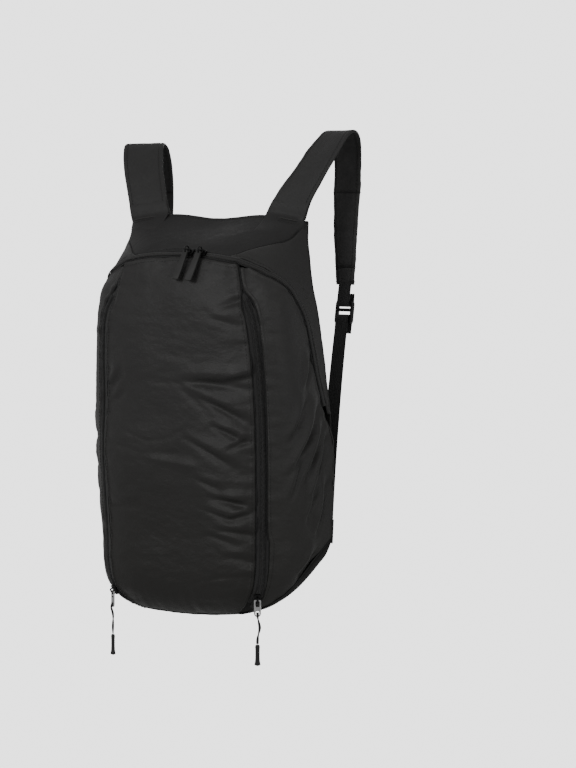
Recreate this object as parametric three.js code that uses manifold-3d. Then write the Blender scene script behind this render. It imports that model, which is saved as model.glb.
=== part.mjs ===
import * as THREE from 'three';
import { mergeVertices } from 'three/addons/utils/BufferGeometryUtils.js';
import Module from 'manifold-3d';

// A packable backpack with an arch-shaped main zip, two upright front zips and slim shoulder straps.
// Millimetres. X to the viewer's right, -Y is the front, +Z up. While the bag is shaped, Z = 0 is the
// lowest point of its base and Y = 0 its top edge; the last lines move the origin up between the straps.

// Bag body
const BAG_HEIGHT = 448; // base to top edge
const BAG_HALF_WIDTH = 142; // at the back edge, low down
const FRONT_REACH = 95; // front panel forward of the top edge
const BACK_REACH = 22; // back panel behind the top edge
const BASE_RISE = 89; // height over which the bottom rounds under
const KEEL_FORWARD = 27; // lowest line of the base, forward of the top edge
const TOP_SAG = 5; // dip of the top edge between the straps
const TOP_EDGE_DROP = 8; // fall of the top edge from strap to back edge
const CLOTH = 1.4;
const SEAM_GAP = 0.3;
const BENT_SEAM_GAP = 0.8; // where the cloth turns sharply at the seam
const BASE_SEAM_GAP = 0.9; // the base is ruled, so its curved seams keep more room
const MAIN_ZIP_WIDTH = 9; // width of tape that shows
const FRONT_ZIP_WIDTH = 14.6;
const FRONT_ZIP_TOP = 0.828 * BAG_HEIGHT; // where the upright zips end in a point
const FRONT_ZIP_POINT = 28; // length over which the opening closes to that point
const FRONT_ZIP_BOTTOM = 15;

// Zips
const TAPE = 0.8;
const MAIN_TAPE_DEPTH = 0.5; // tape face below the cloth's face
const FRONT_TAPE_DEPTH = 1.0;
const COIL_WIDTH = 5;
const COIL_HEIGHT = 1.5;
const COIL_GAP = 0.65;
const TAPE_EASE = 0.5; // the cloth turns in beside a tape, which is that much narrower on each side

// Sliders and what hangs from them
const SLIDER_LENGTH = 11;
const SLIDER_WIDTH = 8.4;
const SLIDER_BODY = 2.6;
const BRIDGE_WIDTH = 2.4;
const BRIDGE_BAR = 1.2;
const BRIDGE_OPENING = 2.7;
const FRONT_SLIDER_HEIGHT = 26;
const PULLER_LENGTH = 19;
const PULLER_WIDTH = 7.8;
const PULLER_THICKNESS = 1.6;
const CORD_DIAMETER = 1.6; // one strand of the doubled cord
const CORD_DROP = 30;
const CORD_END_LENGTH = 24;
const CORD_END_WIDTH = 6;
const RING_RADIUS = 3.4;
const RING_WIRE = 1.3;
const TAB_LENGTH = 36;
const TAB_WIDTH = 9;
const TAB_THICKNESS = 1.8;
const MAIN_SLIDER_PLACES = [12, 30]; // right of the middle

// Shoulder straps
const STRAP_WIDTH = 50;
const STRAP_THICKNESS = 3.4;
const STRAP_SETBACK = 65; // falling part, behind the top edge
const STRAP_INNER = 63; // inner edge at the top edge, right of the middle
const STRAP_RISE = { left: 80, right: 94 };
const WEBBING_WIDTH = 20;
const WEBBING = 1.2;
const LOCK_WIDTH = 27;
const LOCK_HEIGHT = 25;
const LOCK_THICKNESS = 4;
const LOCK_BAR = 4;
const LOCK_DROP = 31; // adjuster's middle below the strap's end
const ANCHOR_LENGTH = 26;
const ANCHOR_UP = 0.214; // height of the webbing's tab, as a share of the bag's

const wasm = await Module();
wasm.setup();

function table(columns, rows) {
  return rows.map((row) => Object.fromEntries(columns.map((name, i) => [name, row[i]])));
}

// Half sections from the base curve (rise 0) to the top edge (rise 1). X columns are shares of the half
// width, forward columns of the front reach, behind columns of the back reach.
const SECTIONS = table(
  ['rise', 'zipX', 'zipForward', 'sideX', 'sideForward', 'edgeX', 'edgeBehind', 'frontForward', 'backBehind'],
  [
    [0.0, 0.732, 0.76, 0.861, 0.58, 0.983, 0.727, 0.915, 0.909],
    [0.103, 0.742, 0.78, 0.866, 0.63, 0.992, 0.773, 0.955, 0.955],
    [0.27, 0.752, 0.807, 0.868, 0.655, 0.994, 0.773, 0.995, 1.0],
    [0.426, 0.738, 0.811, 0.873, 0.68, 0.961, 0.682, 1.015, 1.0],
    [0.588, 0.72, 0.861, 0.842, 0.735, 0.919, 0.545, 1.035, 0.909],
    [0.699, 0.678, 0.891, 0.81, 0.765, 0.889, 0.409, 1.035, 0.818],
    [0.772, 0.592, 0.865, 0.764, 0.75, 0.859, 0.295, 1.01, 0.727],
    [0.825, 0.549, 0.821, 0.725, 0.65, 0.845, 0.227, 0.94, 0.636],
    [0.872, 0.507, 0.76, 0.69, 0.537, 0.835, 0.182, 0.832, 0.5],
    [0.914, 0.465, 0.595, 0.716, 0.358, 0.83, 0.11, 0.642, 0.364],
    [0.95, 0.437, 0.365, 0.762, 0.189, 0.826, 0.1, 0.389, 0.25],
    [0.978, 0.426, 0.155, 0.79, 0.1, 0.824, 0.12, 0.163, 0.2],
    [1.0, 0.423, 0.018, 0.79, 0.046, 0.824, 0.16, 0.018, 0.06],
  ],
);
const FRONT_BASE_POWER = 3.5; // how boxy the front rounds under
const BACK_BASE_POWER = 2;

// Main folds, as seen from the face they lie on. Places and lengths are shares of the bag's half width
// (across) and height (up, long); deep and broad are shares of the half width; ridges have a negative depth.
const FOLDS = table(
  ['face', 'across', 'up', 'long', 'slope', 'deep', 'broad'],
  [
    ['front', 0.4, 0.585, 0.21, -3, 0.04, 0.075],
    ['front', 0.46, 0.525, 0.16, -24, 0.028, 0.06],
    ['front', 0.51, 0.735, 0.11, -14, 0.016, 0.06],
    ['front', 0.5, 0.463, 0.09, -22, 0.022, 0.05],
    ['front', 0.35, 0.405, 0.15, -26, 0.02, 0.06],
    ['front', 0.02, 0.388, 0.17, -7, -0.016, 0.06],
    ['front', 0.33, 0.335, 0.08, -20, 0.014, 0.05],
    ['front', 0.56, 0.286, 0.12, -9, 0.024, 0.06],
    ['front', 0.43, 0.257, 0.09, -17, 0.015, 0.05],
    ['front', 0.55, 0.218, 0.11, -5, 0.018, 0.055],
    ['front', -0.52, 0.583, 0.06, 37, 0.02, 0.06],
    ['front', -0.46, 0.273, 0.12, 5, 0.013, 0.06],
    ['right', -0.19, 0.453, 0.2, 57, 0.022, 0.07],
    ['right', -0.04, 0.384, 0.17, 66, 0.024, 0.06],
    ['right', 0.0, 0.28, 0.14, 73, 0.02, 0.06],
    ['right', -0.155, 0.616, 0.07, 62, 0.014, 0.05],
    ['left', -0.16, 0.44, 0.2, 60, 0.022, 0.07],
    ['left', -0.02, 0.33, 0.15, 68, 0.02, 0.06],
  ],
);

// Seams, as places round the section and heights in shares of the bag's height. Round the section 0 is the
// front centre, 1 the upright zip, 2 the side, 3 the back edge and 4 the back centre.
const ARCH = table(
  ['round', 'up'],
  [
    [0, 0.904], [0.5, 0.901], [0.94, 0.891], [1.43, 0.877], [2.02, 0.857], [2.4, 0.826], [2.55, 0.792],
    [2.67, 0.743], [2.73, 0.676], [2.77, 0.607], [2.85, 0.54], [2.93, 0.478], [3, 0.437],
  ],
);
const BASE_SEAM = table(
  ['round', 'up'],
  [[0, 0.0056], [0.5, 0.0075], [1, 0.0134], [1.4, 0.02], [1.95, 0.04], [2.36, 0.089], [2.61, 0.138], [3, 0.1987]],
);
const BACK_OUTLINE = table(
  ['round', 'up'],
  [[3, 0.1987], [3.06, 0.13], [3.2, 0.06], [3.5, 0.022], [4, 0.013]],
);
const YOKE_SEAM = table(['round', 'up'], [[2.03, 0.942], [2.2, 0.974], [2.4, 1]]);

function smoothStep(low, high, value) {
  const share = THREE.MathUtils.clamp((value - low) / (high - low), 0, 1);
  return share * share * (3 - 2 * share);
}

// Smooth curve through unevenly spaced values, as a cubic between each pair of rows
function cubicThrough(keys, values, key) {
  let i = 0;
  while (i < keys.length - 2 && key > keys[i + 1]) i += 1;
  const slope = (j) => {
    if (j <= 0) return (values[1] - values[0]) / (keys[1] - keys[0]);
    if (j >= keys.length - 1) return (values[j] - values[j - 1]) / (keys[j] - keys[j - 1]);
    const before = (values[j] - values[j - 1]) / (keys[j] - keys[j - 1]);
    const after = (values[j + 1] - values[j]) / (keys[j + 1] - keys[j]);
    const weight = (keys[j + 1] - keys[j]) / (keys[j + 1] - keys[j - 1]);
    return before * weight + after * (1 - weight);
  };
  const span = keys[i + 1] - keys[i];
  const t = (key - keys[i]) / span;
  const a = 2 * t ** 3 - 3 * t ** 2 + 1;
  const b = t ** 3 - 2 * t ** 2 + t;
  const c = -2 * t ** 3 + 3 * t ** 2;
  const d = t ** 3 - t ** 2;
  return a * values[i] + b * span * slope(i) + c * values[i + 1] + d * span * slope(i + 1);
}

function column(rows, key, name) {
  const keys = rows.map((row) => row[key]);
  const values = rows.map((row) => row[name]);
  return (at) => cubicThrough(keys, values, at);
}

const section = Object.fromEntries(
  Object.keys(SECTIONS[0]).slice(1).map((name) => [name, column(SECTIONS, 'rise', name)]),
);

// The level runs from -1 at the keel through 0 at the base curve to 1 at the top edge
function levelOf(round, up) {
  const height = up * BAG_HEIGHT;
  if (height >= BASE_RISE) return (height - BASE_RISE) / (BAG_HEIGHT - BASE_RISE);
  const power = basePower(round);
  const down = 1 - height / BASE_RISE;
  return -Math.atan2(down, (1 - down ** power) ** (1 / power)) / (Math.PI / 2);
}

function basePower(round) {
  return FRONT_BASE_POWER + (BACK_BASE_POWER - FRONT_BASE_POWER) * smoothStep(2, 3, Math.abs(round));
}

function controlPoint(index, level) {
  const rise = Math.max(level, 0);
  const side = Math.sign(index);
  const place = Math.abs(index);
  const xShare = [() => 0, section.zipX, section.sideX, section.edgeX, () => 0][place](rise);
  const forward = [section.frontForward, section.zipForward, section.sideForward][place];
  const behind = place === 3 ? section.edgeBehind : section.backBehind;
  let x = xShare * BAG_HALF_WIDTH;
  let y = forward ? -forward(rise) * FRONT_REACH : behind(rise) * BACK_REACH;
  let z = BASE_RISE + rise * (BAG_HEIGHT - BASE_RISE);
  if (level < 0) {
    const power = basePower(place);
    const angle = -level * Math.PI / 2;
    const scale = (Math.sin(angle) ** power + Math.cos(angle) ** power) ** (1 / power);
    x *= Math.cos(angle) / scale;
    y = -KEEL_FORWARD + (y + KEEL_FORWARD) * Math.cos(angle) / scale;
    z = BASE_RISE * (1 - Math.sin(angle) / scale);
  }
  return new THREE.Vector3(x * side, y, z - smoothStep(0.86, 1, rise) * topDip(x));
}

// How far the top edge dips below the bag's height: a sag between the straps and a fall outside them
function topDip(x) {
  const edge = section.edgeX(1) * BAG_HALF_WIDTH;
  const sag = TOP_SAG * (1 - Math.min(1, x / STRAP_INNER) ** 2);
  return sag + TOP_EDGE_DROP * Math.max(0, (x - STRAP_INNER) / (edge - STRAP_INNER));
}

// Round places run on from the back edge at 3 over the back centre at 4 to the other back edge at 5 or -3
function wrapped(round) {
  if (round < -3) return round + 8;
  return round > 5 ? round - 8 : round;
}

// The bag's outer form without folds: one smooth curve round the front from back edge to back edge, and a
// shallow one across the back
function form(round, level) {
  const u = wrapped(round);
  if (u > 3) {
    const across = 4 - u;
    const edge = controlPoint(3, level);
    const centre = controlPoint(4, level);
    return new THREE.Vector3(
      edge.x * across,
      centre.y + (edge.y - centre.y) * across ** 2,
      centre.z + (edge.z - centre.z) * across ** 2,
    );
  }
  const points = [];
  for (let i = -3; i <= 3; i += 1) points.push(controlPoint(i, level));
  const lengths = [0];
  for (let i = 1; i < points.length; i += 1) {
    lengths.push(lengths[i - 1] + Math.max(points[i].distanceTo(points[i - 1]), 0.01));
  }
  const i = Math.min(Math.floor(u + 3), 5);
  const at = lengths[i] + (u + 3 - i) * (lengths[i + 1] - lengths[i]);
  const axis = (name) => cubicThrough(lengths, points.map((point) => point[name]), at);
  return new THREE.Vector3(axis('x'), axis('y'), axis('z'));
}

// Both sides of the sharp back edge share one direction, halfway between their own
const EDGE_REACH = 0.07;

function normalAt(round, level) {
  const du = 0.02;
  const dv = 0.004;
  const u = wrapped(round);
  const edge = [-3, 3, 5].find((place) => Math.abs(u - place) < EDGE_REACH);
  const at = edge ?? u;
  const along = form(at + du, level).sub(form(at, level)).normalize()
    .add(form(at, level).sub(form(at - du, level)).normalize());
  const up = form(at, Math.min(level + dv, 1)).sub(form(at, level - dv));
  return along.cross(up).normalize();
}

function foldDepth(point, normal) {
  let depth = 0;
  for (const fold of FOLDS) {
    const side = { front: 0, right: 1, left: -1 }[fold.face];
    const facing = side === 0 ? smoothStep(0.3, 0.8, -normal.y) : smoothStep(0.3, 0.8, side * normal.x);
    if (facing === 0) continue;
    const across = (side === 0 ? point.x : point.y) - fold.across * BAG_HALF_WIDTH;
    const up = point.z - fold.up * BAG_HEIGHT;
    const slope = THREE.MathUtils.degToRad(fold.slope);
    const along = across * Math.cos(slope) + up * Math.sin(slope);
    const off = up * Math.cos(slope) - across * Math.sin(slope);
    const ends = 1 - smoothStep(0.25, 0.5, Math.abs(along) / (fold.long * BAG_HEIGHT));
    const broad = fold.broad * BAG_HALF_WIDTH;
    depth += facing * ends * fold.deep * BAG_HALF_WIDTH * Math.exp(-((off / broad) ** 2));
  }
  return depth;
}

function clothPoint(round, level) {
  const point = form(round, level);
  const normal = normalAt(round, level);
  return point.addScaledVector(normal, -foldDepth(point, normal));
}

// A seam through a table's rows, with its parameter spaced evenly along its real length
function seamCurve(rows) {
  const places = rows.map((row) => [row.round, levelOf(row.round, row.up)]);
  const steps = 240;
  const keys = places.map((_, i) => i);
  const raw = (share) => {
    const key = share * (places.length - 1);
    return [0, 1].map((n) => cubicThrough(keys, places.map((place) => place[n]), key));
  };
  const samples = Array.from({ length: steps + 1 }, (_, i) => raw(i / steps));
  const lengths = runningLength(samples.map(([u, v]) => form(u, v)));
  return (share) => {
    const along = share * lengths[steps];
    let i = 0;
    while (i < steps - 1 && lengths[i + 1] < along) i += 1;
    const part = (along - lengths[i]) / Math.max(lengths[i + 1] - lengths[i], 1e-6);
    return mix(samples[i], samples[i + 1], part);
  };
}

function runningLength(points) {
  const lengths = [0];
  for (let i = 1; i < points.length; i += 1) lengths.push(lengths[i - 1] + points[i].distanceTo(points[i - 1]));
  return lengths;
}

function mix(a, b, share) {
  return a.map((value, i) => value + (b[i] - value) * share);
}

function mirrored(curve) {
  return (share) => {
    const [u, v] = curve(share);
    return [-u, v];
  };
}

// A patch of the form between four seams, in rows that stop short of each seam by its allowance
const FINE = 40;

function patchPlaces({ bottom, top, left, right, columns, rows, allow, reach = [0, 1], hold = 1 }) {
  const place = coons({ bottom, top, left, right, hold });
  const fine = [];
  for (let j = 0; j <= FINE; j += 1) {
    const up = reach[0] + (reach[1] - reach[0]) * (j / FINE);
    const along = [Math.max(up - 0.01, 0), Math.min(up + 0.01, 1)];
    const slants = [[0, 0.02], [1, 0.98]].map(([end, inward]) => slant(
      place(end, up), place(inward, up), place(end, along[0]), place(end, along[1]),
    ));
    const start = allow.left(up) / slants[0];
    const stop = allow.right(up) / slants[1];
    fine.push(evenly((across) => place(across, up), columns, start, stop));
  }
  const upward = Array.from({ length: columns + 1 }, (_, i) => {
    const line = (share) => mix(fine[Math.floor(share * FINE)][i], fine[Math.ceil(share * FINE)][i],
      share * FINE - Math.floor(share * FINE));
    const beside = [Math.max(i - 1, 0), Math.min(i + 1, columns)];
    const slants = [[0, 2], [FINE, FINE - 2]].map(([end, inward]) => slant(
      fine[end][i], fine[inward][i], fine[end][beside[0]], fine[end][beside[1]],
    ));
    return evenly(line, rows, allow.bottom / slants[0], allow.top / slants[1]);
  });
  return Array.from({ length: rows + 1 }, (_, j) => upward.map((line) => line[j]));
}

// The top seam's own shape is felt less far down, the higher hold is
function coons({ bottom, top, left, right, hold }) {
  const corner = { b0: bottom(0), b1: bottom(1), t0: top(0), t1: top(1) };
  return (across, up) => [0, 1].map((n) => {
    const high = up ** hold;
    const ruled = (1 - high) * bottom(across)[n] + high * top(across)[n]
      + (1 - across) * left(up)[n] + across * right(up)[n];
    const corners = (1 - across) * (1 - high) * corner.b0[n] + across * (1 - high) * corner.b1[n]
      + (1 - across) * high * corner.t0[n] + across * high * corner.t1[n];
    return ruled - corners;
  });
}

// Sine of the angle between a line from one place to the next and a seam between two others
function slant(from, to, seamFrom, seamTo) {
  const line = form(...to).sub(form(...from));
  const seam = form(...seamTo).sub(form(...seamFrom));
  return Math.max(Math.sin(line.angleTo(seam)), 0.35);
}

// Places spaced evenly by real length along a line, less an allowance at each end
function evenly(line, count, start, stop) {
  const samples = Array.from({ length: FINE + 1 }, (_, i) => line(i / FINE));
  const lengths = runningLength(samples.map(([u, v]) => form(u, v)));
  const span = lengths[FINE] - start - stop;
  return Array.from({ length: count + 1 }, (_, i) => {
    const along = start + span * (i / count);
    let k = 0;
    while (k < FINE - 1 && lengths[k + 1] < along) k += 1;
    return mix(samples[k], samples[k + 1], (along - lengths[k]) / Math.max(lengths[k + 1] - lengths[k], 1e-6));
  });
}

// A sheet of cloth from a grid of outer points and the directions in which it is thick
function sheet(outer, normals, thickness = CLOTH) {
  const rows = outer.length;
  const columns = outer[0].length;
  const positions = [];
  outer.flat().forEach((point) => positions.push(point.x, point.y, point.z));
  outer.forEach((row, j) => row.forEach((point, i) => {
    const inner = point.clone().addScaledVector(normals[j][i], -thickness);
    positions.push(inner.x, inner.y, inner.z);
  }));
  const front = (j, i) => j * columns + i;
  const back = (j, i) => rows * columns + j * columns + i;
  const indices = [];
  const quad = (a, b, c, d) => indices.push(a, b, c, a, c, d);
  for (let j = 0; j < rows - 1; j += 1) {
    for (let i = 0; i < columns - 1; i += 1) {
      quad(front(j, i), front(j, i + 1), front(j + 1, i + 1), front(j + 1, i));
      quad(back(j, i), back(j + 1, i), back(j + 1, i + 1), back(j, i + 1));
    }
  }
  for (let i = 0; i < columns - 1; i += 1) {
    quad(front(0, i), back(0, i), back(0, i + 1), front(0, i + 1));
    quad(front(rows - 1, i + 1), back(rows - 1, i + 1), back(rows - 1, i), front(rows - 1, i));
  }
  for (let j = 0; j < rows - 1; j += 1) {
    quad(front(j + 1, 0), back(j + 1, 0), back(j, 0), front(j, 0));
    quad(front(j, columns - 1), back(j, columns - 1), back(j + 1, columns - 1), front(j + 1, columns - 1));
  }
  return indexed(positions, indices);
}

function indexed(positions, indices) {
  const geometry = new THREE.BufferGeometry();
  geometry.setAttribute('position', new THREE.Float32BufferAttribute(positions, 3));
  geometry.setIndex(indices);
  return geometry;
}

function patch(settings) {
  const grid = patchPlaces(settings);
  return sheet(
    grid.map((row) => row.map(([u, v]) => clothPoint(u, v))),
    grid.map((row) => row.map(([u, v]) => normalAt(u, v))),
  );
}

// A closed bar swept through frames, each with a place, an across and an outward direction
function sweep(frames, outline) {
  const positions = [];
  frames.forEach((frame, j) => {
    outline(j / (frames.length - 1)).forEach(([across, out]) => {
      const point = frame.place.clone().addScaledVector(frame.across, across).addScaledVector(frame.out, out);
      positions.push(point.x, point.y, point.z);
    });
  });
  const count = positions.length / 3 / frames.length;
  const indices = [];
  for (let j = 0; j < frames.length - 1; j += 1) {
    for (let i = 0; i < count; i += 1) {
      const next = (i + 1) % count;
      const a = j * count + i;
      const b = j * count + next;
      indices.push(a, b, b + count, a, b + count, a + count);
    }
  }
  const last = (frames.length - 1) * count;
  for (let i = 1; i < count - 1; i += 1) {
    indices.push(0, i + 1, i, last, last + i, last + i + 1);
  }
  return facingOut(indexed(positions, indices));
}

// Turns a closed surface right side out
function facingOut(geometry) {
  const points = geometry.getAttribute('position');
  const index = geometry.getIndex();
  const corner = (i) => new THREE.Vector3().fromBufferAttribute(points, index.getX(i));
  let volume = 0;
  for (let i = 0; i < index.count; i += 3) volume += corner(i).dot(corner(i + 1).cross(corner(i + 2)));
  if (volume > 0) return geometry;
  const turned = [];
  for (let i = 0; i < index.count; i += 3) turned.push(index.getX(i), index.getX(i + 2), index.getX(i + 1));
  geometry.setIndex(turned);
  return geometry;
}

function barOutline(width, low, high) {
  return () => [[-width / 2, low], [width / 2, low], [width / 2, high], [-width / 2, high]];
}

// Frames along a seam on the form
function seamFrames(curve, from, to, count) {
  const frames = [];
  for (let j = 0; j < count; j += 1) {
    const share = from + (to - from) * (j / (count - 1));
    frames.push(seamFrame(curve, share));
  }
  return frames;
}

function seamFrame(curve, share) {
  const step = 0.004;
  const place = form(...curve(share));
  const along = form(...curve(Math.min(share + step, 1))).sub(form(...curve(Math.max(share - step, 0)))).normalize();
  const out = normalAt(...curve(share));
  const across = new THREE.Vector3().crossVectors(along, out).normalize();
  return { place, across, along, out: new THREE.Vector3().crossVectors(across, along).normalize() };
}

function solid(geometry) {
  const plain = geometry.clone();
  plain.deleteAttribute('normal');
  plain.deleteAttribute('uv');
  const merged = mergeVertices(plain, 1e-4);
  const vertProperties = new Float32Array(merged.getAttribute('position').array);
  const triVerts = new Uint32Array(merged.getIndex().array);
  return new wasm.Manifold(new wasm.Mesh({ numProp: 3, vertProperties, triVerts }));
}

function geometryOf(manifold) {
  const mesh = manifold.getMesh();
  return indexed(Array.from(mesh.vertProperties), Array.from(mesh.triVerts));
}

function joined(...geometries) {
  return geometryOf(geometries.map(solid).reduce((whole, piece) => whole.add(piece)));
}

function roundedOutline(width, height, radius, holder = new THREE.Shape()) {
  const x = width / 2;
  const y = height / 2;
  holder.moveTo(x, -y + radius);
  holder.lineTo(x, y - radius);
  holder.absarc(x - radius, y - radius, radius, 0, Math.PI / 2);
  holder.lineTo(-x + radius, y);
  holder.absarc(-x + radius, y - radius, radius, Math.PI / 2, Math.PI);
  holder.lineTo(-x, -y + radius);
  holder.absarc(-x + radius, -y + radius, radius, Math.PI, Math.PI * 1.5);
  holder.lineTo(x - radius, -y);
  holder.absarc(x - radius, -y + radius, radius, Math.PI * 1.5, Math.PI * 2);
  return holder;
}

function plate(shape, thickness, roundSteps = 3) {
  const geometry = new THREE.ExtrudeGeometry(shape, {
    depth: thickness, bevelEnabled: false, curveSegments: roundSteps,
  });
  return geometry.translate(0, 0, -thickness / 2);
}

function shifted(outline, x, y) {
  const path = new THREE.Path();
  path.setFromPoints(outline.getPoints(2).map((point) => new THREE.Vector2(point.x + x, point.y + y)));
  return path;
}

const arch = seamCurve([...ARCH].reverse());
const archStart = 0.13; // share of the half arch where its zip leaves the back edge
const seamUnderZip = [1, levelOf(1, 0.0134)];

function seamLevel(rows, round) {
  const keys = rows.map((row) => row.round);
  const values = rows.map((row) => levelOf(row.round, row.up));
  return cubicThrough(keys, values, Math.abs(round));
}

// Across the whole front, from one round place to another, at the height of a seam
function acrossSeam(rows, from, to) {
  return (share) => {
    const round = from + (to - from) * share;
    return [round, seamLevel(rows, round)];
  };
}

function straight(from, to) {
  return (share) => mix(from, to, share);
}

function heightOf(place) {
  return form(...place).z;
}

// Half the width that an upright zip leaves open at a height, closing to a point at its top
function frontZipHalf(height) {
  const open = 1 - smoothStep(FRONT_ZIP_TOP - FRONT_ZIP_POINT, FRONT_ZIP_TOP, height);
  return SEAM_GAP / 2 + (FRONT_ZIP_WIDTH / 2 - SEAM_GAP / 2) * open;
}

const seamHalf = () => BENT_SEAM_GAP / 2;
const mainHalf = MAIN_ZIP_WIDTH / 2;

function frontCentrePanel() {
  const bottom = acrossSeam(BASE_SEAM, -1, 1);
  const top = acrossSeam(ARCH, -1, 1);
  const left = straight(bottom(0), top(0));
  const right = straight(bottom(1), top(1));
  const opening = (up) => frontZipHalf(heightOf(right(up)));
  return patch({
    bottom, top, left, right, columns: 15, rows: 22,
    allow: { left: opening, right: opening, bottom: BASE_SEAM_GAP / 2, top: mainHalf },
  });
}

// From the upright zip to the arch zip, and below it to the back edge
function frontSidePanelGeometry(side) {
  const zipTop = [1, seamLevel(ARCH, 1)];
  const edgeRows = table(['round', 'up'], [[3, 0.1987], [3, 0.28], [3, 0.36]]);
  const right = seamCurve([...edgeRows, ...[...ARCH].reverse().filter((row) => row.round > 1)]);
  const left = straight(seamUnderZip, zipTop);
  const bottom = acrossSeam(BASE_SEAM, 1, 3);
  const top = straight(zipTop, right(1));
  const zipStart = heightOf(arch(archStart));
  const settings = {
    bottom, left, top, right, columns: 8, rows: 20, reach: [0, 0.985],
    allow: {
      left: (up) => frontZipHalf(heightOf(left(up))),
      right: (up) => BENT_SEAM_GAP / 2
        + (mainHalf - BENT_SEAM_GAP / 2) * smoothStep(zipStart - 26, zipStart - 8, heightOf(right(up))),
      bottom: BASE_SEAM_GAP / 2,
      top: 0,
    },
  };
  return handed(settings, side);
}

// The same patch on the left is the right one mirrored in its places, so that folds may still differ
function handed(settings, side) {
  if (side === 'right') return patch(settings);
  const { bottom, top, left, right, allow } = settings;
  return patch({
    ...settings,
    bottom: backwards(mirrored(bottom)),
    top: backwards(mirrored(top)),
    left: mirrored(right),
    right: mirrored(left),
    allow: { ...allow, left: allow.right, right: allow.left },
  });
}

function backwards(curve) {
  return (share) => curve(1 - share);
}

const yokeCorner = arch(0.83);
const yokeSeamRows = [{ round: yokeCorner[0], up: heightOf(yokeCorner) / BAG_HEIGHT }, ...YOKE_SEAM];
const yokeSeam = seamCurve(yokeSeamRows);
const yokeEnd = YOKE_SEAM[YOKE_SEAM.length - 1].round;

function archPart(from, to) {
  return (share) => arch(from + (to - from) * share);
}

function sideGussetGeometry(side) {
  const left = archPart(0, 0.83);
  const right = straight([3, levelOf(3, 0.437)], [3, 1]);
  const top = seamCurve([...yokeSeamRows, { round: 3, up: 1 }]);
  const settings = {
    bottom: straight(left(0), right(0)),
    top,
    left,
    right,
    hold: 3,
    columns: 6,
    rows: 16,
    reach: [0.12, 1],
    allow: { left: () => mainHalf, right: seamHalf, bottom: 0, top: BENT_SEAM_GAP / 2 },
  };
  return handed(settings, side);
}

function yokePanel() {
  const half = archPart(0.83, 1);
  const bottom = (share) => (share < 0.5 ? mirrored(half)(share * 2) : half(2 - share * 2));
  return patch({
    bottom,
    top: straight([-yokeEnd, 1], [yokeEnd, 1]),
    left: mirrored(yokeSeam),
    right: yokeSeam,
    columns: 18,
    rows: 6,
    allow: { left: seamHalf, right: seamHalf, bottom: mainHalf, top: 0 },
  });
}

function backPanel() {
  const half = (round) => [round, seamLevel(BACK_OUTLINE, round <= 4 ? round : 8 - round)];
  const bottom = (share) => half(3 + 2 * share);
  return patch({
    bottom,
    top: straight([3, 1], [5, 1]),
    left: straight(bottom(0), [3, 1]),
    right: straight(bottom(1), [5, 1]),
    columns: 10,
    rows: 17,
    allow: { left: seamHalf, right: seamHalf, bottom: BASE_SEAM_GAP / 2, top: 0 },
  });
}

// The base is ruled between the front seam and the back panel's rounded lower edge, and swells down a little
function basePanel() {
  const columns = 20;
  const rows = 6;
  const swell = 0.1;
  const front = seamCurve([...BASE_SEAM].reverse());
  const back = seamCurve(BACK_OUTLINE);
  const at = (curve, share) => (share < 0.5 ? mirrored(curve)(share * 2) : curve(2 - share * 2));
  const centre = new THREE.Vector3(0, -KEEL_FORWARD, BASE_RISE);
  const outer = [];
  const normals = [];
  for (let j = 0; j <= rows; j += 1) {
    outer.push([]);
    normals.push([]);
    for (let i = 0; i <= columns; i += 1) {
      const share = 0.015 + 0.97 * (i / columns);
      const near = at(back, share);
      const far = at(front, share);
      const from = form(...near);
      const to = form(...far);
      const width = from.distanceTo(to);
      const edge = BASE_SEAM_GAP / 2 / width;
      const across = edge + (1 - 2 * edge) * (j / rows);
      const point = from.clone().lerp(to, across);
      const outward = point.clone().sub(centre).normalize();
      point.addScaledVector(outward, 4 * swell * width * across * (1 - across));
      outer[j].push(point);
      normals[j].push(normalAt(...near).lerp(normalAt(...far), across).normalize());
    }
  }
  return facingOut(sheet(outer, normals));
}

function mainZip() {
  const wholeArch = (share) => (share < 0.5 ? mirrored(arch)(share * 2) : arch(2 - share * 2));
  const frames = seamFrames(wholeArch, archStart / 2, 1 - archStart / 2, 55);
  const face = -MAIN_TAPE_DEPTH;
  const width = MAIN_ZIP_WIDTH - 2 * (SEAM_GAP + TAPE_EASE);
  return {
    curve: wholeArch,
    tape: sweep(frames, barOutline(width, face - TAPE, face)),
    coil: sweep(frames, coilOutline(face)),
  };
}

function coilOutline(face) {
  const low = face + COIL_GAP;
  const high = low + COIL_HEIGHT;
  const side = COIL_WIDTH / 2;
  return () => [
    [-side, low], [side, low], [side, (low + high) / 2], [side * 0.6, high], [-side * 0.6, high],
    [-side, (low + high) / 2],
  ];
}

function frontZip(side) {
  const sign = side === 'right' ? 1 : -1;
  const curve = (share) => {
    const height = FRONT_ZIP_BOTTOM + (FRONT_ZIP_TOP - 4 - FRONT_ZIP_BOTTOM) * share;
    return [sign, levelOf(1, height / BAG_HEIGHT)];
  };
  const frames = seamFrames(curve, 0, 1, 27);
  const face = -FRONT_TAPE_DEPTH;
  const open = (share) => Math.max(2 * (frontZipHalf(heightOf(curve(share))) - SEAM_GAP - TAPE_EASE), 0.8);
  return {
    curve,
    tape: sweep(frames, (share) => barOutline(open(share), face - TAPE, face)()),
    coil: sweep(frames.slice(0, -2), coilOutline(face)),
  };
}

// A zip slider: a tapered body over the coil with a bridge on top that the pull hangs from. Across is X,
// along the zip is Y and away from the cloth is Z; the bridge's opening has its middle at BRIDGE_MIDDLE.
const SLIDER_SEAT = -FRONT_TAPE_DEPTH + COIL_GAP + COIL_HEIGHT + SEAM_GAP;
const BRIDGE_MIDDLE = SLIDER_SEAT + SLIDER_BODY + BRIDGE_OPENING / 2;

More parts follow.
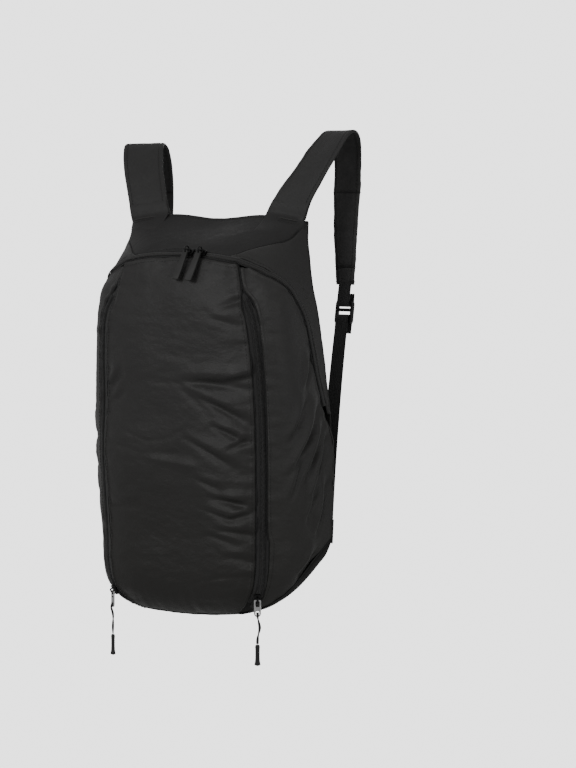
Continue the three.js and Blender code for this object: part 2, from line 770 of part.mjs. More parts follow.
function sliderGeometry() {
  const half = SLIDER_WIDTH / 2;
  const long = SLIDER_LENGTH / 2;
  const body = new THREE.Shape();
  body.moveTo(-half, long);
  body.quadraticCurveTo(0, long * 1.25, half, long);
  body.lineTo(half, long * 0.1);
  body.lineTo(half * 0.62, -long);
  body.lineTo(-half * 0.62, -long);
  body.lineTo(-half, long * 0.1);
  const slab = plate(body, SLIDER_BODY).translate(0, 0, SLIDER_SEAT + SLIDER_BODY / 2);
  const reach = long * 0.72;
  const rise = BRIDGE_OPENING + BRIDGE_BAR;
  const bridge = new THREE.Shape();
  bridge.moveTo(-reach, -0.5);
  bridge.lineTo(-reach, rise * 0.75);
  bridge.lineTo(-reach * 0.7, rise);
  bridge.lineTo(reach * 0.7, rise);
  bridge.lineTo(reach, rise * 0.75);
  bridge.lineTo(reach, -0.5);
  bridge.lineTo(reach - BRIDGE_BAR, -0.5);
  bridge.lineTo(reach - BRIDGE_BAR, BRIDGE_OPENING * 0.8);
  bridge.lineTo(reach * 0.6, BRIDGE_OPENING);
  bridge.lineTo(-reach * 0.6, BRIDGE_OPENING);
  bridge.lineTo(-reach + BRIDGE_BAR, BRIDGE_OPENING * 0.8);
  bridge.lineTo(-reach + BRIDGE_BAR, -0.5);
  const arched = plate(bridge, BRIDGE_WIDTH);
  arched.rotateX(Math.PI / 2).rotateZ(Math.PI / 2).translate(0, 0, SLIDER_SEAT + SLIDER_BODY);
  return joined(slab, arched);
}

function basisMatrix(place, across, along, out) {
  return new THREE.Matrix4().makeBasis(across, along, out).setPosition(place);
}

// A metal puller with two holes and a bar between them; its pivot bar lies on X through the origin and it
// hangs towards -Y
const PULLER_BAR = 1.6;
const PULLER_HOLE = 4.6;
const PULLER_SPAN = PULLER_LENGTH - PULLER_BAR / 2;

function pullerGeometry() {
  const outline = new THREE.Shape();
  const half = PULLER_WIDTH / 2;
  const top = PULLER_BAR / 2;
  outline.moveTo(-half + 0.8, top);
  outline.lineTo(-half, top - 0.8);
  outline.lineTo(-half, -PULLER_SPAN + half);
  outline.absarc(0, -PULLER_SPAN + half, half, Math.PI, 2 * Math.PI);
  outline.lineTo(half, top - 0.8);
  outline.lineTo(half - 0.8, top);
  const upper = roundedOutline(PULLER_HOLE, PULLER_HOLE + 1.6, 0.9, new THREE.Path());
  const lower = roundedOutline(PULLER_HOLE - 0.4, PULLER_HOLE + 0.4, 1.6, new THREE.Path());
  outline.holes.push(shifted(upper, 0, -top - PULLER_HOLE / 2 - 0.8));
  outline.holes.push(shifted(lower, 0, -PULLER_SPAN + 1.7 + PULLER_HOLE / 2));
  return plate(outline, PULLER_THICKNESS, 6);
}

// The doubled cord: a flat oval section through the puller's lower hole and down to the moulded end. The
// route is chosen by hand, as shares of the drop, and bows sideways a little.
const CORD_ROUTE = table(
  ['down', 'forward', 'left', 'right'],
  [
    [0, 0.5, 0, 0], [0.05, 0.95, 0, 0], [0.1, 1.28, 0, 0], [0.15, 1.28, 0.004, 0.004], [0.22, 0.95, 0.012, 0.02],
    [0.3, 0.45, 0.018, 0.045], [0.38, 0.12, 0.022, 0.066], [0.46, 0, 0.022, 0.08], [0.54, 0, 0.018, 0.076],
    [0.62, 0, 0.01, 0.058], [0.71, 0, 0, 0.03], [0.8, 0, -0.006, 0.01], [0.89, 0, -0.006, 0.002],
    [0.95, 0, -0.003, 0], [1, 0, 0, 0],
  ],
);
const CORD_START = PULLER_SPAN - 1.7 - PULLER_HOLE * 0.75;
const CORD_STOP = PULLER_SPAN + CORD_DROP;

function cordPoint(side, row) {
  const down = CORD_START + (CORD_STOP - CORD_START) * row.down;
  return new THREE.Vector3(row[side] * CORD_DROP, -down, row.forward * PULLER_THICKNESS);
}

function cordGeometry(side) {
  const frames = CORD_ROUTE.map((row) => ({
    place: cordPoint(side, row),
    across: new THREE.Vector3(1, 0, 0),
    out: new THREE.Vector3(0, 0, 1),
  }));
  return sweep(frames, () => {
    const points = [];
    for (let i = 0; i < 8; i += 1) {
      const angle = (i / 8) * 2 * Math.PI;
      points.push([CORD_DIAMETER * Math.cos(angle), (CORD_DIAMETER / 2) * Math.sin(angle)]);
    }
    return points;
  });
}

function cordEndGeometry() {
  const widths = [0.62, 0.8, 0.84, 0.86, 0.92, 1.08, 1.14, 0.9];
  const places = [0, 0.05, 0.3, 0.6, 0.78, 0.88, 0.95, 1];
  const frames = places.map((share) => ({
    place: new THREE.Vector3(0, -share * CORD_END_LENGTH, 0),
    across: new THREE.Vector3(1, 0, 0),
    out: new THREE.Vector3(0, 0, 1),
  }));
  return sweep(frames, (share) => {
    const wide = widths[Math.round(share * (widths.length - 1))] * CORD_END_WIDTH / 2;
    const deep = wide * 0.72;
    const cut = 0.45;
    return [
      [-wide, -deep * cut], [-wide * cut, -deep], [wide * cut, -deep], [wide, -deep * cut],
      [wide, deep * cut], [wide * cut, deep], [-wide * cut, deep], [-wide, deep * cut],
    ];
  });
}

function ringGeometry() {
  return new THREE.TorusGeometry(RING_RADIUS, RING_WIRE / 2, 6, 14);
}

// A flat tab with a hole at its top for the ring; the hole's middle is the origin and it hangs to -Y
function tabGeometry() {
  const outline = new THREE.Shape();
  const neck = TAB_WIDTH * 0.36;
  const foot = TAB_WIDTH / 2;
  outline.moveTo(-neck, 1.2);
  outline.lineTo(-neck * 0.5, 1.7);
  outline.lineTo(neck * 0.5, 1.7);
  outline.lineTo(neck, 1.2);
  outline.lineTo(neck * 1.15, -TAB_LENGTH * 0.3);
  outline.lineTo(foot, -TAB_LENGTH * 0.62);
  outline.lineTo(foot, -TAB_LENGTH + 3);
  outline.lineTo(foot - 1, -TAB_LENGTH + 2.2);
  outline.lineTo(-foot + 1, -TAB_LENGTH + 2.2);
  outline.lineTo(-foot, -TAB_LENGTH + 3);
  outline.lineTo(-foot, -TAB_LENGTH * 0.62);
  outline.lineTo(-neck * 1.15, -TAB_LENGTH * 0.3);
  const across = RING_WIRE + 2 * SEAM_GAP;
  outline.holes.push(shifted(roundedOutline(across, across, across * 0.4, new THREE.Path()), 0, 0));
  return plate(outline, TAB_THICKNESS, 4);
}

// Centre line of a shoulder strap on the right. Out is a share of the bag's half width, behind a share of
// the setback, rise a share of the strap's rise above the top edge, wide a share of its width; turn is how
// far the outer edge is turned forward and lean how far it drops.
const STRAP = table(
  ['out', 'behind', 'rise', 'wide', 'turn', 'lean'],
  [
    [0.636, -0.03, 0.0, 1.05, 2, 8], [0.67, 0.0, 0.12, 1.01, 3, 7], [0.71, 0.075, 0.27, 0.99, 5, 5],
    [0.803, 0.28, 0.58, 0.98, 10, 3], [0.873, 0.48, 0.83, 0.97, 14, 1], [0.919, 0.68, 0.98, 0.95, 16, 0],
    [0.93, 0.86, 0.93, 0.93, 16, 0], [0.923, 0.97, 0.72, 0.9, 16, 0], [0.915, 1.0, 0.47, 0.88, 16, 0],
    [0.908, 1.0, 0.2, 0.86, 16, 0], [0.901, 0.985, -0.13, 0.8, 16, 0], [0.901, 0.98, -0.4, 0.72, 16, 0],
    [0.901, 0.98, -0.66, 0.64, 16, 0], [0.901, 0.98, -0.84, 0.57, 16, 0],
  ],
);

function ribbonDirection(turn, lean) {
  const around = THREE.MathUtils.degToRad(turn);
  const down = THREE.MathUtils.degToRad(lean);
  return new THREE.Vector3(Math.cos(around) * Math.cos(down), -Math.sin(around) * Math.cos(down), -Math.sin(down));
}

// Frames through a ribbon's rows, each with the row's own width direction
function ribbonFrames(rows, perRow) {
  const keys = rows.map((row, i) => i);
  const read = (name, at) => cubicThrough(keys, rows.map((row) => row[name]), at);
  const count = (rows.length - 1) * perRow + 1;
  const place = (at) => new THREE.Vector3(read('x', at), read('y', at), read('z', at));
  return Array.from({ length: count }, (_, i) => {
    const at = i / perRow;
    const after = place(Math.min(at + 0.05, rows.length - 1));
    const along = after.sub(place(Math.max(at - 0.05, 0))).normalize();
    const across = ribbonDirection(read('turn', at), read('lean', at));
    const out = new THREE.Vector3().crossVectors(along, across).normalize();
    return { place: place(at), across, out, width: read('width', at) };
  });
}

function strapRows(side) {
  const rise = STRAP_RISE[side];
  const rows = STRAP.map((row) => ({
    x: row.out * BAG_HALF_WIDTH,
    y: row.behind * STRAP_SETBACK,
    z: BAG_HEIGHT + row.rise * (row.rise > 0 ? rise : STRAP_RISE.right),
    width: row.wide * STRAP_WIDTH,
    turn: row.turn,
    lean: row.lean,
  }));
  rows[0].z = BAG_HEIGHT - topDip(rows[0].x) + SEAM_GAP + STRAP_THICKNESS / 3;
  return rows;
}

function strapGeometry(side) {
  const frames = ribbonFrames(strapRows(side), 2);
  const count = frames.length - 1;
  return sweep(frames, (share) => {
    const half = frames[Math.round(share * count)].width / 2;
    const thick = STRAP_THICKNESS / 2;
    return [
      [-half, -thick * 0.4], [-half * 0.9, -thick], [half * 0.9, -thick], [half, -thick * 0.4],
      [half, thick * 0.4], [half * 0.9, thick], [-half * 0.9, thick], [-half, thick * 0.4],
    ];
  });
}

// The adjuster: a frame with two slots. Its middle is the origin, up is Y and X lies across the webbing.
const LOCK_SLOT = WEBBING_WIDTH + 1.6;
const UPPER_SLOT = 4;
const LOWER_SLOT = 5.5;
const MIDDLE_BAR = 3.5;
const LOOP_RADIUS = Math.hypot(LOCK_BAR, LOCK_THICKNESS) / 2 + SEAM_GAP + WEBBING / 2;

function lockGeometry() {
  const outline = roundedOutline(LOCK_WIDTH, LOCK_HEIGHT, 3);
  const upperTop = LOCK_HEIGHT / 2 - LOCK_BAR;
  const lowerTop = upperTop - UPPER_SLOT - MIDDLE_BAR;
  const upper = roundedOutline(LOCK_SLOT, UPPER_SLOT, 0.6, new THREE.Path());
  const lower = roundedOutline(LOCK_SLOT, LOWER_SLOT, 0.6, new THREE.Path());
  outline.holes.push(shifted(upper, 0, upperTop - UPPER_SLOT / 2));
  outline.holes.push(shifted(lower, 0, lowerTop - LOWER_SLOT / 2));
  return plate(outline, LOCK_THICKNESS, 2);
}

const strapEnd = strapRows('right')[STRAP.length - 1];
const lockPlace = new THREE.Vector3(strapEnd.x, strapEnd.y - 2, strapEnd.z - LOCK_DROP);
const lockAcross = ribbonDirection(strapEnd.turn, 0);
const lockUp = new THREE.Vector3(0, 0.13, 1).projectOnPlane(lockAcross).normalize();
const lockOut = new THREE.Vector3().crossVectors(lockAcross, lockUp).normalize();

function onLock(out, up) {
  return lockPlace.clone().addScaledVector(lockOut, out).addScaledVector(lockUp, up);
}

// Webbing through a list of places; each place has its own width direction
function webbingGeometry(rows) {
  const frames = rows.map(({ place, across }, i) => {
    const before = rows[Math.max(i - 1, 0)].place;
    const after = rows[Math.min(i + 1, rows.length - 1)].place;
    const along = after.clone().sub(before).normalize();
    return { place, across, out: new THREE.Vector3().crossVectors(along, across).normalize() };
  });
  return sweep(frames, barOutline(WEBBING_WIDTH, -WEBBING / 2, WEBBING / 2));
}

// Half a turn round a bar of the adjuster, from its front to its back or the other way
function turnRound(barUp, direction) {
  return Array.from({ length: 7 }, (_, i) => {
    const angle = (i / 6) * Math.PI;
    return onLock(LOOP_RADIUS * Math.cos(angle), barUp + direction * LOOP_RADIUS * Math.sin(angle));
  });
}

function upperWebbingGeometry() {
  const start = new THREE.Vector3(strapEnd.x, strapEnd.y, strapEnd.z - SEAM_GAP * 2);
  const bar = (LOCK_HEIGHT - LOCK_BAR) / 2;
  const turn = turnRound(bar, -1);
  const tail = onLock(-LOOP_RADIUS * 0.9, bar + 11);
  const places = [start, start.clone().lerp(turn[0], 0.5), ...turn, tail];
  return webbingGeometry(places.map((place) => ({ place, across: lockAcross })));
}

const anchorRound = 4 - lockPlace.x / (section.edgeX(0) * BAG_HALF_WIDTH);
const anchorCurve = (share) => {
  const height = ANCHOR_UP * BAG_HEIGHT + ANCHOR_LENGTH * (share - 0.5);
  return [anchorRound, levelOf(anchorRound, height / BAG_HEIGHT)];
};

function anchorGeometry() {
  const frames = seamFrames(anchorCurve, 0, 1, 4);
  return sweep(frames, barOutline(WEBBING_WIDTH + 4, SEAM_GAP, SEAM_GAP + CLOTH));
}

// Down from the adjuster in a nearly straight line, a little slack, to lie on its tab
function lowerWebbingGeometry() {
  const slack = 3;
  const steps = 14;
  const lowerBarTop = LOCK_HEIGHT / 2 - LOCK_BAR - UPPER_SLOT - MIDDLE_BAR - LOWER_SLOT;
  const turn = turnRound(lowerBarTop - LOCK_BAR / 2, 1).reverse();
  const tail = onLock(-LOOP_RADIUS * 0.9, lowerBarTop - 19);
  const leave = onLock(LOOP_RADIUS * 0.9, -LOCK_HEIGHT / 2 - 6);
  const lift = 2 * SEAM_GAP + CLOTH + WEBBING / 2;
  const flat = [0.8, 0.15].map((share) => {
    const frame = seamFrame(anchorCurve, share);
    return { place: frame.place.addScaledVector(frame.out, lift), across: frame.across };
  });
  const flatAcross = flat[0].across.x > 0 ? flat[0].across : flat[0].across.clone().negate();
  const rows = [tail, ...turn, leave].map((place) => ({ place, across: lockAcross }));
  for (let i = 1; i < steps; i += 1) {
    const share = i / steps;
    const place = leave.clone().lerp(flat[0].place, share);
    place.y -= 4 * slack * share * (1 - share);
    rows.push({ place, across: lockAcross.clone().lerp(flatAcross, share).normalize() });
  }
  flat.forEach(({ place }) => rows.push({ place, across: flatAcross }));
  return webbingGeometry(rows);
}

// The same piece on the other side
function mirroredGeometry(geometry) {
  const plain = geometry.getIndex() ? geometry : geometryOf(solid(geometry));
  return facingOut(plain.scale(-1, 1, 1));
}

const COLOURS = {
  cloth: { color: 0x24242a, roughness: 0.5, metalness: 0 },
  clothBack: { color: 0x202024, roughness: 0.6, metalness: 0 },
  base: { color: 0x1b1b1a, roughness: 0.7, metalness: 0 },
  zip: { color: 0x141416, roughness: 0.6, metalness: 0 },
  slider: { color: 0x0c0c0d, roughness: 0.35, metalness: 0.6 },
  metal: { color: 0xa8a8aa, roughness: 0.3, metalness: 1 },
  rubber: { color: 0x161617, roughness: 0.55, metalness: 0 },
  cord: { color: 0x101011, roughness: 0.8, metalness: 0 },
  webbing: { color: 0x0a0a0b, roughness: 0.85, metalness: 0 },
  plastic: { color: 0x0e0e0f, roughness: 0.4, metalness: 0 },
};

const bag = new THREE.Group();

function add(name, geometry, finish, matrix) {
  const mesh = new THREE.Mesh(geometry, new THREE.MeshStandardMaterial(COLOURS[finish]));
  mesh.name = name;
  if (matrix) mesh.applyMatrix4(matrix);
  bag.add(mesh);
  return mesh;
}

function addPanels() {
  add('front_centre_panel', frontCentrePanel(), 'cloth');
  add('yoke_panel', yokePanel(), 'cloth');
  add('back_panel', backPanel(), 'clothBack');
  add('base_panel', basePanel(), 'base');
  for (const side of ['left', 'right']) {
    add(`front_side_panel_${side}`, frontSidePanelGeometry(side), 'cloth');
    add(`side_gusset_${side}`, sideGussetGeometry(side), 'cloth');
  }
}

// The share along a curve where the form reaches a place along X
function shareAtX(curve, x) {
  let low = 0.2;
  let high = 0.8;
  for (let i = 0; i < 40; i += 1) {
    const middle = (low + high) / 2;
    if (form(...curve(middle)).x < x) low = middle;
    else high = middle;
  }
  return low;
}

const RING_SLANT = THREE.MathUtils.degToRad(15); // how far the ring hangs down from straight out
const TAB_LEAN = THREE.MathUtils.degToRad(20); // tab leans in to rest on the cloth
const TAB_SWING = THREE.MathUtils.degToRad(5); // and sideways, to the left

function addMainZip() {
  const zip = mainZip();
  add('main_zip_tape', zip.tape, 'zip');
  add('main_zip_coil', zip.coil, 'zip');
  ['left', 'right'].forEach((side, i) => {
    const frame = seamFrame(zip.curve, shareAtX(zip.curve, MAIN_SLIDER_PLACES[i]));
    const facing = side === 'left' ? 1 : -1;
    const along = frame.along.clone().multiplyScalar(facing);
    const across = new THREE.Vector3().crossVectors(along, frame.out).normalize();
    const lift = FRONT_TAPE_DEPTH - MAIN_TAPE_DEPTH;
    const place = frame.place.clone().addScaledVector(frame.out, lift);
    add(`main_slider_${side}`, sliderGeometry(), 'slider', basisMatrix(place, across, along, frame.out));
    const down = new THREE.Vector3().crossVectors(frame.out, frame.along).negate().normalize();
    if (down.z > 0) down.negate();
    down.applyAxisAngle(frame.out, -TAB_SWING);
    const outward = frame.out.clone().multiplyScalar(Math.cos(RING_SLANT));
    const centre = place.clone().addScaledVector(frame.out, BRIDGE_MIDDLE)
      .addScaledVector(outward, RING_RADIUS).addScaledVector(down, RING_RADIUS * Math.sin(RING_SLANT));
    const axis = new THREE.Vector3().crossVectors(frame.out, down).normalize();
    add(`main_pull_ring_${side}`, ringGeometry(), 'metal', basisMatrix(centre, frame.out, down, axis));
    const hang = down.clone().multiplyScalar(Math.cos(TAB_LEAN)).addScaledVector(frame.out, -Math.sin(TAB_LEAN));
    const up = hang.clone().negate();
    const sideways = new THREE.Vector3().crossVectors(up, frame.out).normalize();
    const face = new THREE.Vector3().crossVectors(sideways, up).normalize();
    const hole = centre.clone().addScaledVector(hang, RING_RADIUS);
    add(`main_pull_tab_${side}`, tabGeometry(), 'rubber', basisMatrix(hole, sideways, up, face));
  });
}

function addFrontZip(side) {
  const zip = frontZip(side);
  add(`front_zip_tape_${side}`, zip.tape, 'zip');
  add(`front_zip_coil_${side}`, zip.coil, 'zip');
  const share = (FRONT_SLIDER_HEIGHT - FRONT_ZIP_BOTTOM) / (FRONT_ZIP_TOP - 4 - FRONT_ZIP_BOTTOM);
  const { place, out } = seamFrame(zip.curve, share);
  const up = new THREE.Vector3(0, 0, 1);
  const across = new THREE.Vector3().crossVectors(up, out).normalize();
  const along = new THREE.Vector3().crossVectors(out, across).normalize();
  add(`front_slider_${side}`, sliderGeometry(), 'slider', basisMatrix(place, across, along, out));
  const pivot = place.clone().addScaledVector(out, BRIDGE_MIDDLE);
  const forward = new THREE.Vector3().crossVectors(across, up).normalize();
  const hanging = basisMatrix(pivot, across, up, forward);
  add(`front_puller_${side}`, pullerGeometry(), 'metal', hanging);
  add(`front_pull_cord_${side}`, cordGeometry(side), 'cord', hanging);
  const end = hanging.clone().multiply(new THREE.Matrix4().makeTranslation(0, -CORD_STOP - SEAM_GAP, 0));
  add(`front_cord_end_${side}`, cordEndGeometry(), 'rubber', end);
}

function addStraps() {
  for (const side of ['left', 'right']) {
    const place = (geometry) => (side === 'left' ? mirroredGeometry(geometry) : geometry);
    add(`strap_${side}`, place(strapGeometry(side)), 'cloth');
    add(`strap_webbing_upper_${side}`, place(upperWebbingGeometry()), 'webbing');
    const lock = lockGeometry().applyMatrix4(basisMatrix(lockPlace, lockAcross, lockUp, lockOut));
    add(`ladder_lock_${side}`, place(lock), 'plastic');
    add(`strap_webbing_lower_${side}`, place(lowerWebbingGeometry()), 'webbing');
    add(`webbing_anchor_${side}`, place(anchorGeometry()), 'webbing');
  }
}

addPanels();
addMainZip();
addFrontZip('left');
addFrontZip('right');
addStraps();

// The origin is where a peg or a hand would carry the bag: midway between the undersides of both straps
const crest = STRAP[5];
const carryHeight = BAG_HEIGHT + crest.rise * (STRAP_RISE.left + STRAP_RISE.right) / 2 - STRAP_THICKNESS / 2;
bag.position.set(0, -crest.behind * STRAP_SETBACK, -carryHeight);
bag.updateMatrixWorld(true);

export default bag;
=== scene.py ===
import math

import bmesh
import bpy
import numpy as np
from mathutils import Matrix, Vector, noise


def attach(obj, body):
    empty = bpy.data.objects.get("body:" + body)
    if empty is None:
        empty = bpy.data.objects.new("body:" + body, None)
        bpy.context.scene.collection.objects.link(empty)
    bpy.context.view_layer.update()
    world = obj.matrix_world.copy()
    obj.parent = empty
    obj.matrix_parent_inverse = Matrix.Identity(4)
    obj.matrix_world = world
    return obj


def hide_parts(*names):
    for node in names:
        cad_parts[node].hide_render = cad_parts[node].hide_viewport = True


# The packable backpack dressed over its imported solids. The shape functions work in millimetres, with
# Z = 0 at the base and Y = 0 at the top edge, as the part's source does; place() moves them to the frame.

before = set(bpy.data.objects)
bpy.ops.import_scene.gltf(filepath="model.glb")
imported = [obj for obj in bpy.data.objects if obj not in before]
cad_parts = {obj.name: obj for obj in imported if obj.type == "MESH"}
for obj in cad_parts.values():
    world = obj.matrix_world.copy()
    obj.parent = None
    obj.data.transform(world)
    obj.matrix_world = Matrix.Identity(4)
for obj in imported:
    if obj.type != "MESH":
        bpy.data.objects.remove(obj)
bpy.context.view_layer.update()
SIDES = ("left", "right")
SIGN = {"left": -1.0, "right": 1.0}

# Bag body, mm
BAG_HEIGHT = 448.0
BAG_HALF_WIDTH = 142.0
FRONT_REACH = 95.0
BACK_REACH = 22.0
BASE_RISE = 89.0
KEEL_FORWARD = 27.0
TOP_SAG = 5.0
TOP_EDGE_DROP = 8.0
FRONT_BASE_POWER = 3.5
BACK_BASE_POWER = 2.0
SEAM_GAP = 0.3
MAIN_ZIP_WIDTH = 9.0
FRONT_ZIP_WIDTH = 14.6
FRONT_ZIP_TOP = 0.828 * BAG_HEIGHT
FRONT_ZIP_POINT = 28.0
FRONT_ZIP_BOTTOM = 15.0

# Zips, mm
MAIN_TAPE_DEPTH = 0.5
FRONT_TAPE_DEPTH = 1.0
COIL_GAP = 0.65

# Straps, mm
STRAP_WIDTH = 50.0
STRAP_THICKNESS = 3.4
STRAP_SETBACK = 65.0
STRAP_INNER = 63.0
STRAP_RISE = {"left": 80.0, "right": 94.0}
CREST = {"out": 0.919, "behind": 0.68, "rise": 0.98}

OFFSET = np.array([
    0.0,
    -CREST["behind"] * STRAP_SETBACK,
    -(BAG_HEIGHT + CREST["rise"] * (STRAP_RISE["left"] + STRAP_RISE["right"]) / 2 - STRAP_THICKNESS / 2),
])


def place(points):
    """Body millimetres to the frame's metres."""
    return (np.asarray(points, dtype=float) + OFFSET) / 1000.0


def table(columns, rows):
    data = np.array(rows, dtype=float)
    return {name: data[:, i] for i, name in enumerate(columns)}


# Half sections from the base curve (rise 0) to the top edge (rise 1), in shares of the sizes above
SECTIONS = table(
    ["rise", "zipX", "zipForward", "sideX", "sideForward", "edgeX", "edgeBehind", "frontForward",
     "backBehind"],
    [
        [0.0, 0.732, 0.76, 0.861, 0.58, 0.983, 0.727, 0.915, 0.909],
        [0.103, 0.742, 0.78, 0.866, 0.63, 0.992, 0.773, 0.955, 0.955],
        [0.27, 0.752, 0.807, 0.868, 0.655, 0.994, 0.773, 0.995, 1.0],
        [0.426, 0.738, 0.811, 0.873, 0.68, 0.961, 0.682, 1.015, 1.0],
        [0.588, 0.72, 0.861, 0.842, 0.735, 0.919, 0.545, 1.035, 0.909],
        [0.699, 0.678, 0.891, 0.81, 0.765, 0.889, 0.409, 1.035, 0.818],
        [0.772, 0.592, 0.865, 0.764, 0.75, 0.859, 0.295, 1.01, 0.727],
        [0.825, 0.549, 0.821, 0.725, 0.65, 0.845, 0.227, 0.94, 0.636],
        [0.872, 0.507, 0.76, 0.69, 0.537, 0.835, 0.182, 0.832, 0.5],
        [0.914, 0.465, 0.595, 0.716, 0.358, 0.83, 0.11, 0.642, 0.364],
        [0.95, 0.437, 0.365, 0.762, 0.189, 0.826, 0.1, 0.389, 0.25],
        [0.978, 0.426, 0.155, 0.79, 0.1, 0.824, 0.12, 0.163, 0.2],
        [1.0, 0.423, 0.018, 0.79, 0.046, 0.824, 0.16, 0.018, 0.06],
    ],
)
ARCH = [
    [0, 0.904], [0.5, 0.901], [0.94, 0.891], [1.43, 0.877], [2.02, 0.857], [2.4, 0.826], [2.55, 0.792],
    [2.67, 0.743], [2.73, 0.676], [2.77, 0.607], [2.85, 0.54], [2.93, 0.478], [3, 0.437],
]
BASE_SEAM = [
    [0, 0.0056], [0.5, 0.0075], [1, 0.0134], [1.4, 0.02], [1.95, 0.04], [2.36, 0.089], [2.61, 0.138],
    [3, 0.1987],
]
BACK_OUTLINE = [[3, 0.1987], [3.06, 0.13], [3.2, 0.06], [3.5, 0.022], [4, 0.013]]
YOKE_SEAM = [[2.03, 0.942], [2.2, 0.974], [2.4, 1]]


def smooth_step(low, high, value):
    share = np.clip((value - low) / (high - low), 0, 1)
    return share * share * (3 - 2 * share)


def cubic_through(keys, values, at):
    """The part's smooth curve through unevenly spaced rows; keys and values may differ per point."""
    at = np.atleast_1d(np.asarray(at, dtype=float))
    keys = np.broadcast_to(np.asarray(keys, dtype=float), (len(at), np.shape(keys)[-1]))
    values = np.broadcast_to(np.asarray(values, dtype=float), keys.shape)
    last = keys.shape[1] - 1
    i = np.clip((at[:, None] > keys[:, 1:last]).sum(axis=1), 0, last - 1)
    rows = np.arange(len(at))
    step = np.diff(keys, axis=1)
    chord = np.diff(values, axis=1) / step
    inner_weight = step[:, 1:] / (step[:, 1:] + step[:, :-1])
    inner = chord[:, :-1] * inner_weight + chord[:, 1:] * (1 - inner_weight)
    slope = np.concatenate([chord[:, :1], inner, chord[:, -1:]], axis=1)
    span = step[rows, i]
    t = (at - keys[rows, i]) / span
    a = 2 * t ** 3 - 3 * t ** 2 + 1
    b = t ** 3 - 2 * t ** 2 + t
    c = -2 * t ** 3 + 3 * t ** 2
    d = t ** 3 - t ** 2
    return (a * values[rows, i] + b * span * slope[rows, i]
            + c * values[rows, i + 1] + d * span * slope[rows, i + 1])


def section(name, rise):
    return cubic_through(SECTIONS["rise"], SECTIONS[name], rise)


def base_power(round_):
    return FRONT_BASE_POWER + (BACK_BASE_POWER - FRONT_BASE_POWER) * smooth_step(2, 3, abs(round_))


def level_of(round_, up):
    height = up * BAG_HEIGHT
    if height >= BASE_RISE:
        return (height - BASE_RISE) / (BAG_HEIGHT - BASE_RISE)
    power = base_power(round_)
    down = 1 - height / BASE_RISE
    return -math.atan2(down, (1 - down ** power) ** (1 / power)) / (math.pi / 2)


EDGE_AT_TOP = float(section("edgeX", 1.0)[0]) * BAG_HALF_WIDTH


def top_dip(x):
    sag = TOP_SAG * (1 - np.minimum(1, x / STRAP_INNER) ** 2)
    return sag + TOP_EDGE_DROP * np.maximum(0, (x - STRAP_INNER) / (EDGE_AT_TOP - STRAP_INNER))


def control_point(index, level):
    rise = np.maximum(level, 0)
    side = np.sign(index)
    spot = abs(index)
    zero = np.zeros_like(rise)
    share = {0: lambda: zero, 1: lambda: section("zipX", rise), 2: lambda: section("sideX", rise),
             3: lambda: section("edgeX", rise), 4: lambda: zero}[spot]()
    forward = {0: "frontForward", 1: "zipForward", 2: "sideForward"}.get(spot)
    x = share * BAG_HALF_WIDTH
    if forward:
        y = -section(forward, rise) * FRONT_REACH
    else:
        y = section("edgeBehind" if spot == 3 else "backBehind", rise) * BACK_REACH
    z = BASE_RISE + rise * (BAG_HEIGHT - BASE_RISE)
    power = base_power(spot)
    angle = -np.minimum(level, 0) * math.pi / 2
    scale = (np.sin(angle) ** power + np.cos(angle) ** power) ** (1 / power)
    low = level < 0
    x = np.where(low, x * np.cos(angle) / scale, x)
    y = np.where(low, -KEEL_FORWARD + (y + KEEL_FORWARD) * np.cos(angle) / scale, y)
    z = np.where(low, BASE_RISE * (1 - np.sin(angle) / scale), z)
    z = z - smooth_step(0.86, 1, rise) * top_dip(x)
    return np.stack([x * side, y, z], axis=-1)


def form(places):
    """The bag's outer form, for an array of round and level places."""
    places = np.atleast_2d(np.asarray(places, dtype=float))
    u = np.where(places[:, 0] < -3, places[:, 0] + 8, places[:, 0])
    u = np.where(u > 5, u - 8, u)
    level = places[:, 1]
    points = np.stack([control_point(i, level) for i in range(-3, 4)], axis=1)
    steps = np.maximum(np.linalg.norm(np.diff(points, axis=1), axis=2), 0.01)
    lengths = np.concatenate([np.zeros((len(u), 1)), np.cumsum(steps, axis=1)], axis=1)
    front_u = np.clip(u, -3, 3)
    i = np.clip(np.floor(front_u + 3).astype(int), 0, 5)
    rows = np.arange(len(u))
    at = lengths[rows, i] + (front_u + 3 - i) * (lengths[rows, i + 1] - lengths[rows, i])
    front = np.stack([cubic_through(lengths, points[:, :, axis], at) for axis in range(3)], axis=-1)
    across = 4 - u
    edge = points[:, 6]
    centre = control_point(4, level)
    back = np.stack([
        edge[:, 0] * across,
        centre[:, 1] + (edge[:, 1] - centre[:, 1]) * across ** 2,
        centre[:, 2] + (edge[:, 2] - centre[:, 2]) * across ** 2,
    ], axis=-1)
    return np.where((u > 3)[:, None], back, front)


def unit(vectors):
    return vectors / np.maximum(np.linalg.norm(vectors, axis=-1, keepdims=True), 1e-12)


def normal_at(places):
    places = np.atleast_2d(np.asarray(places, dtype=float))
    du = np.array([0.02, 0.0])
    ahead = unit(form(places + du) - form(places))
    behind = unit(form(places) - form(places - du))
    high = places.copy()
    high[:, 1] = np.minimum(high[:, 1] + 0.004, 1)
    low = places.copy()
    low[:, 1] -= 0.004
    return unit(np.cross(ahead + behind, form(high) - form(low)))


def running(points):
    return np.concatenate([[0], np.cumsum(np.linalg.norm(np.diff(points, axis=0), axis=1))])


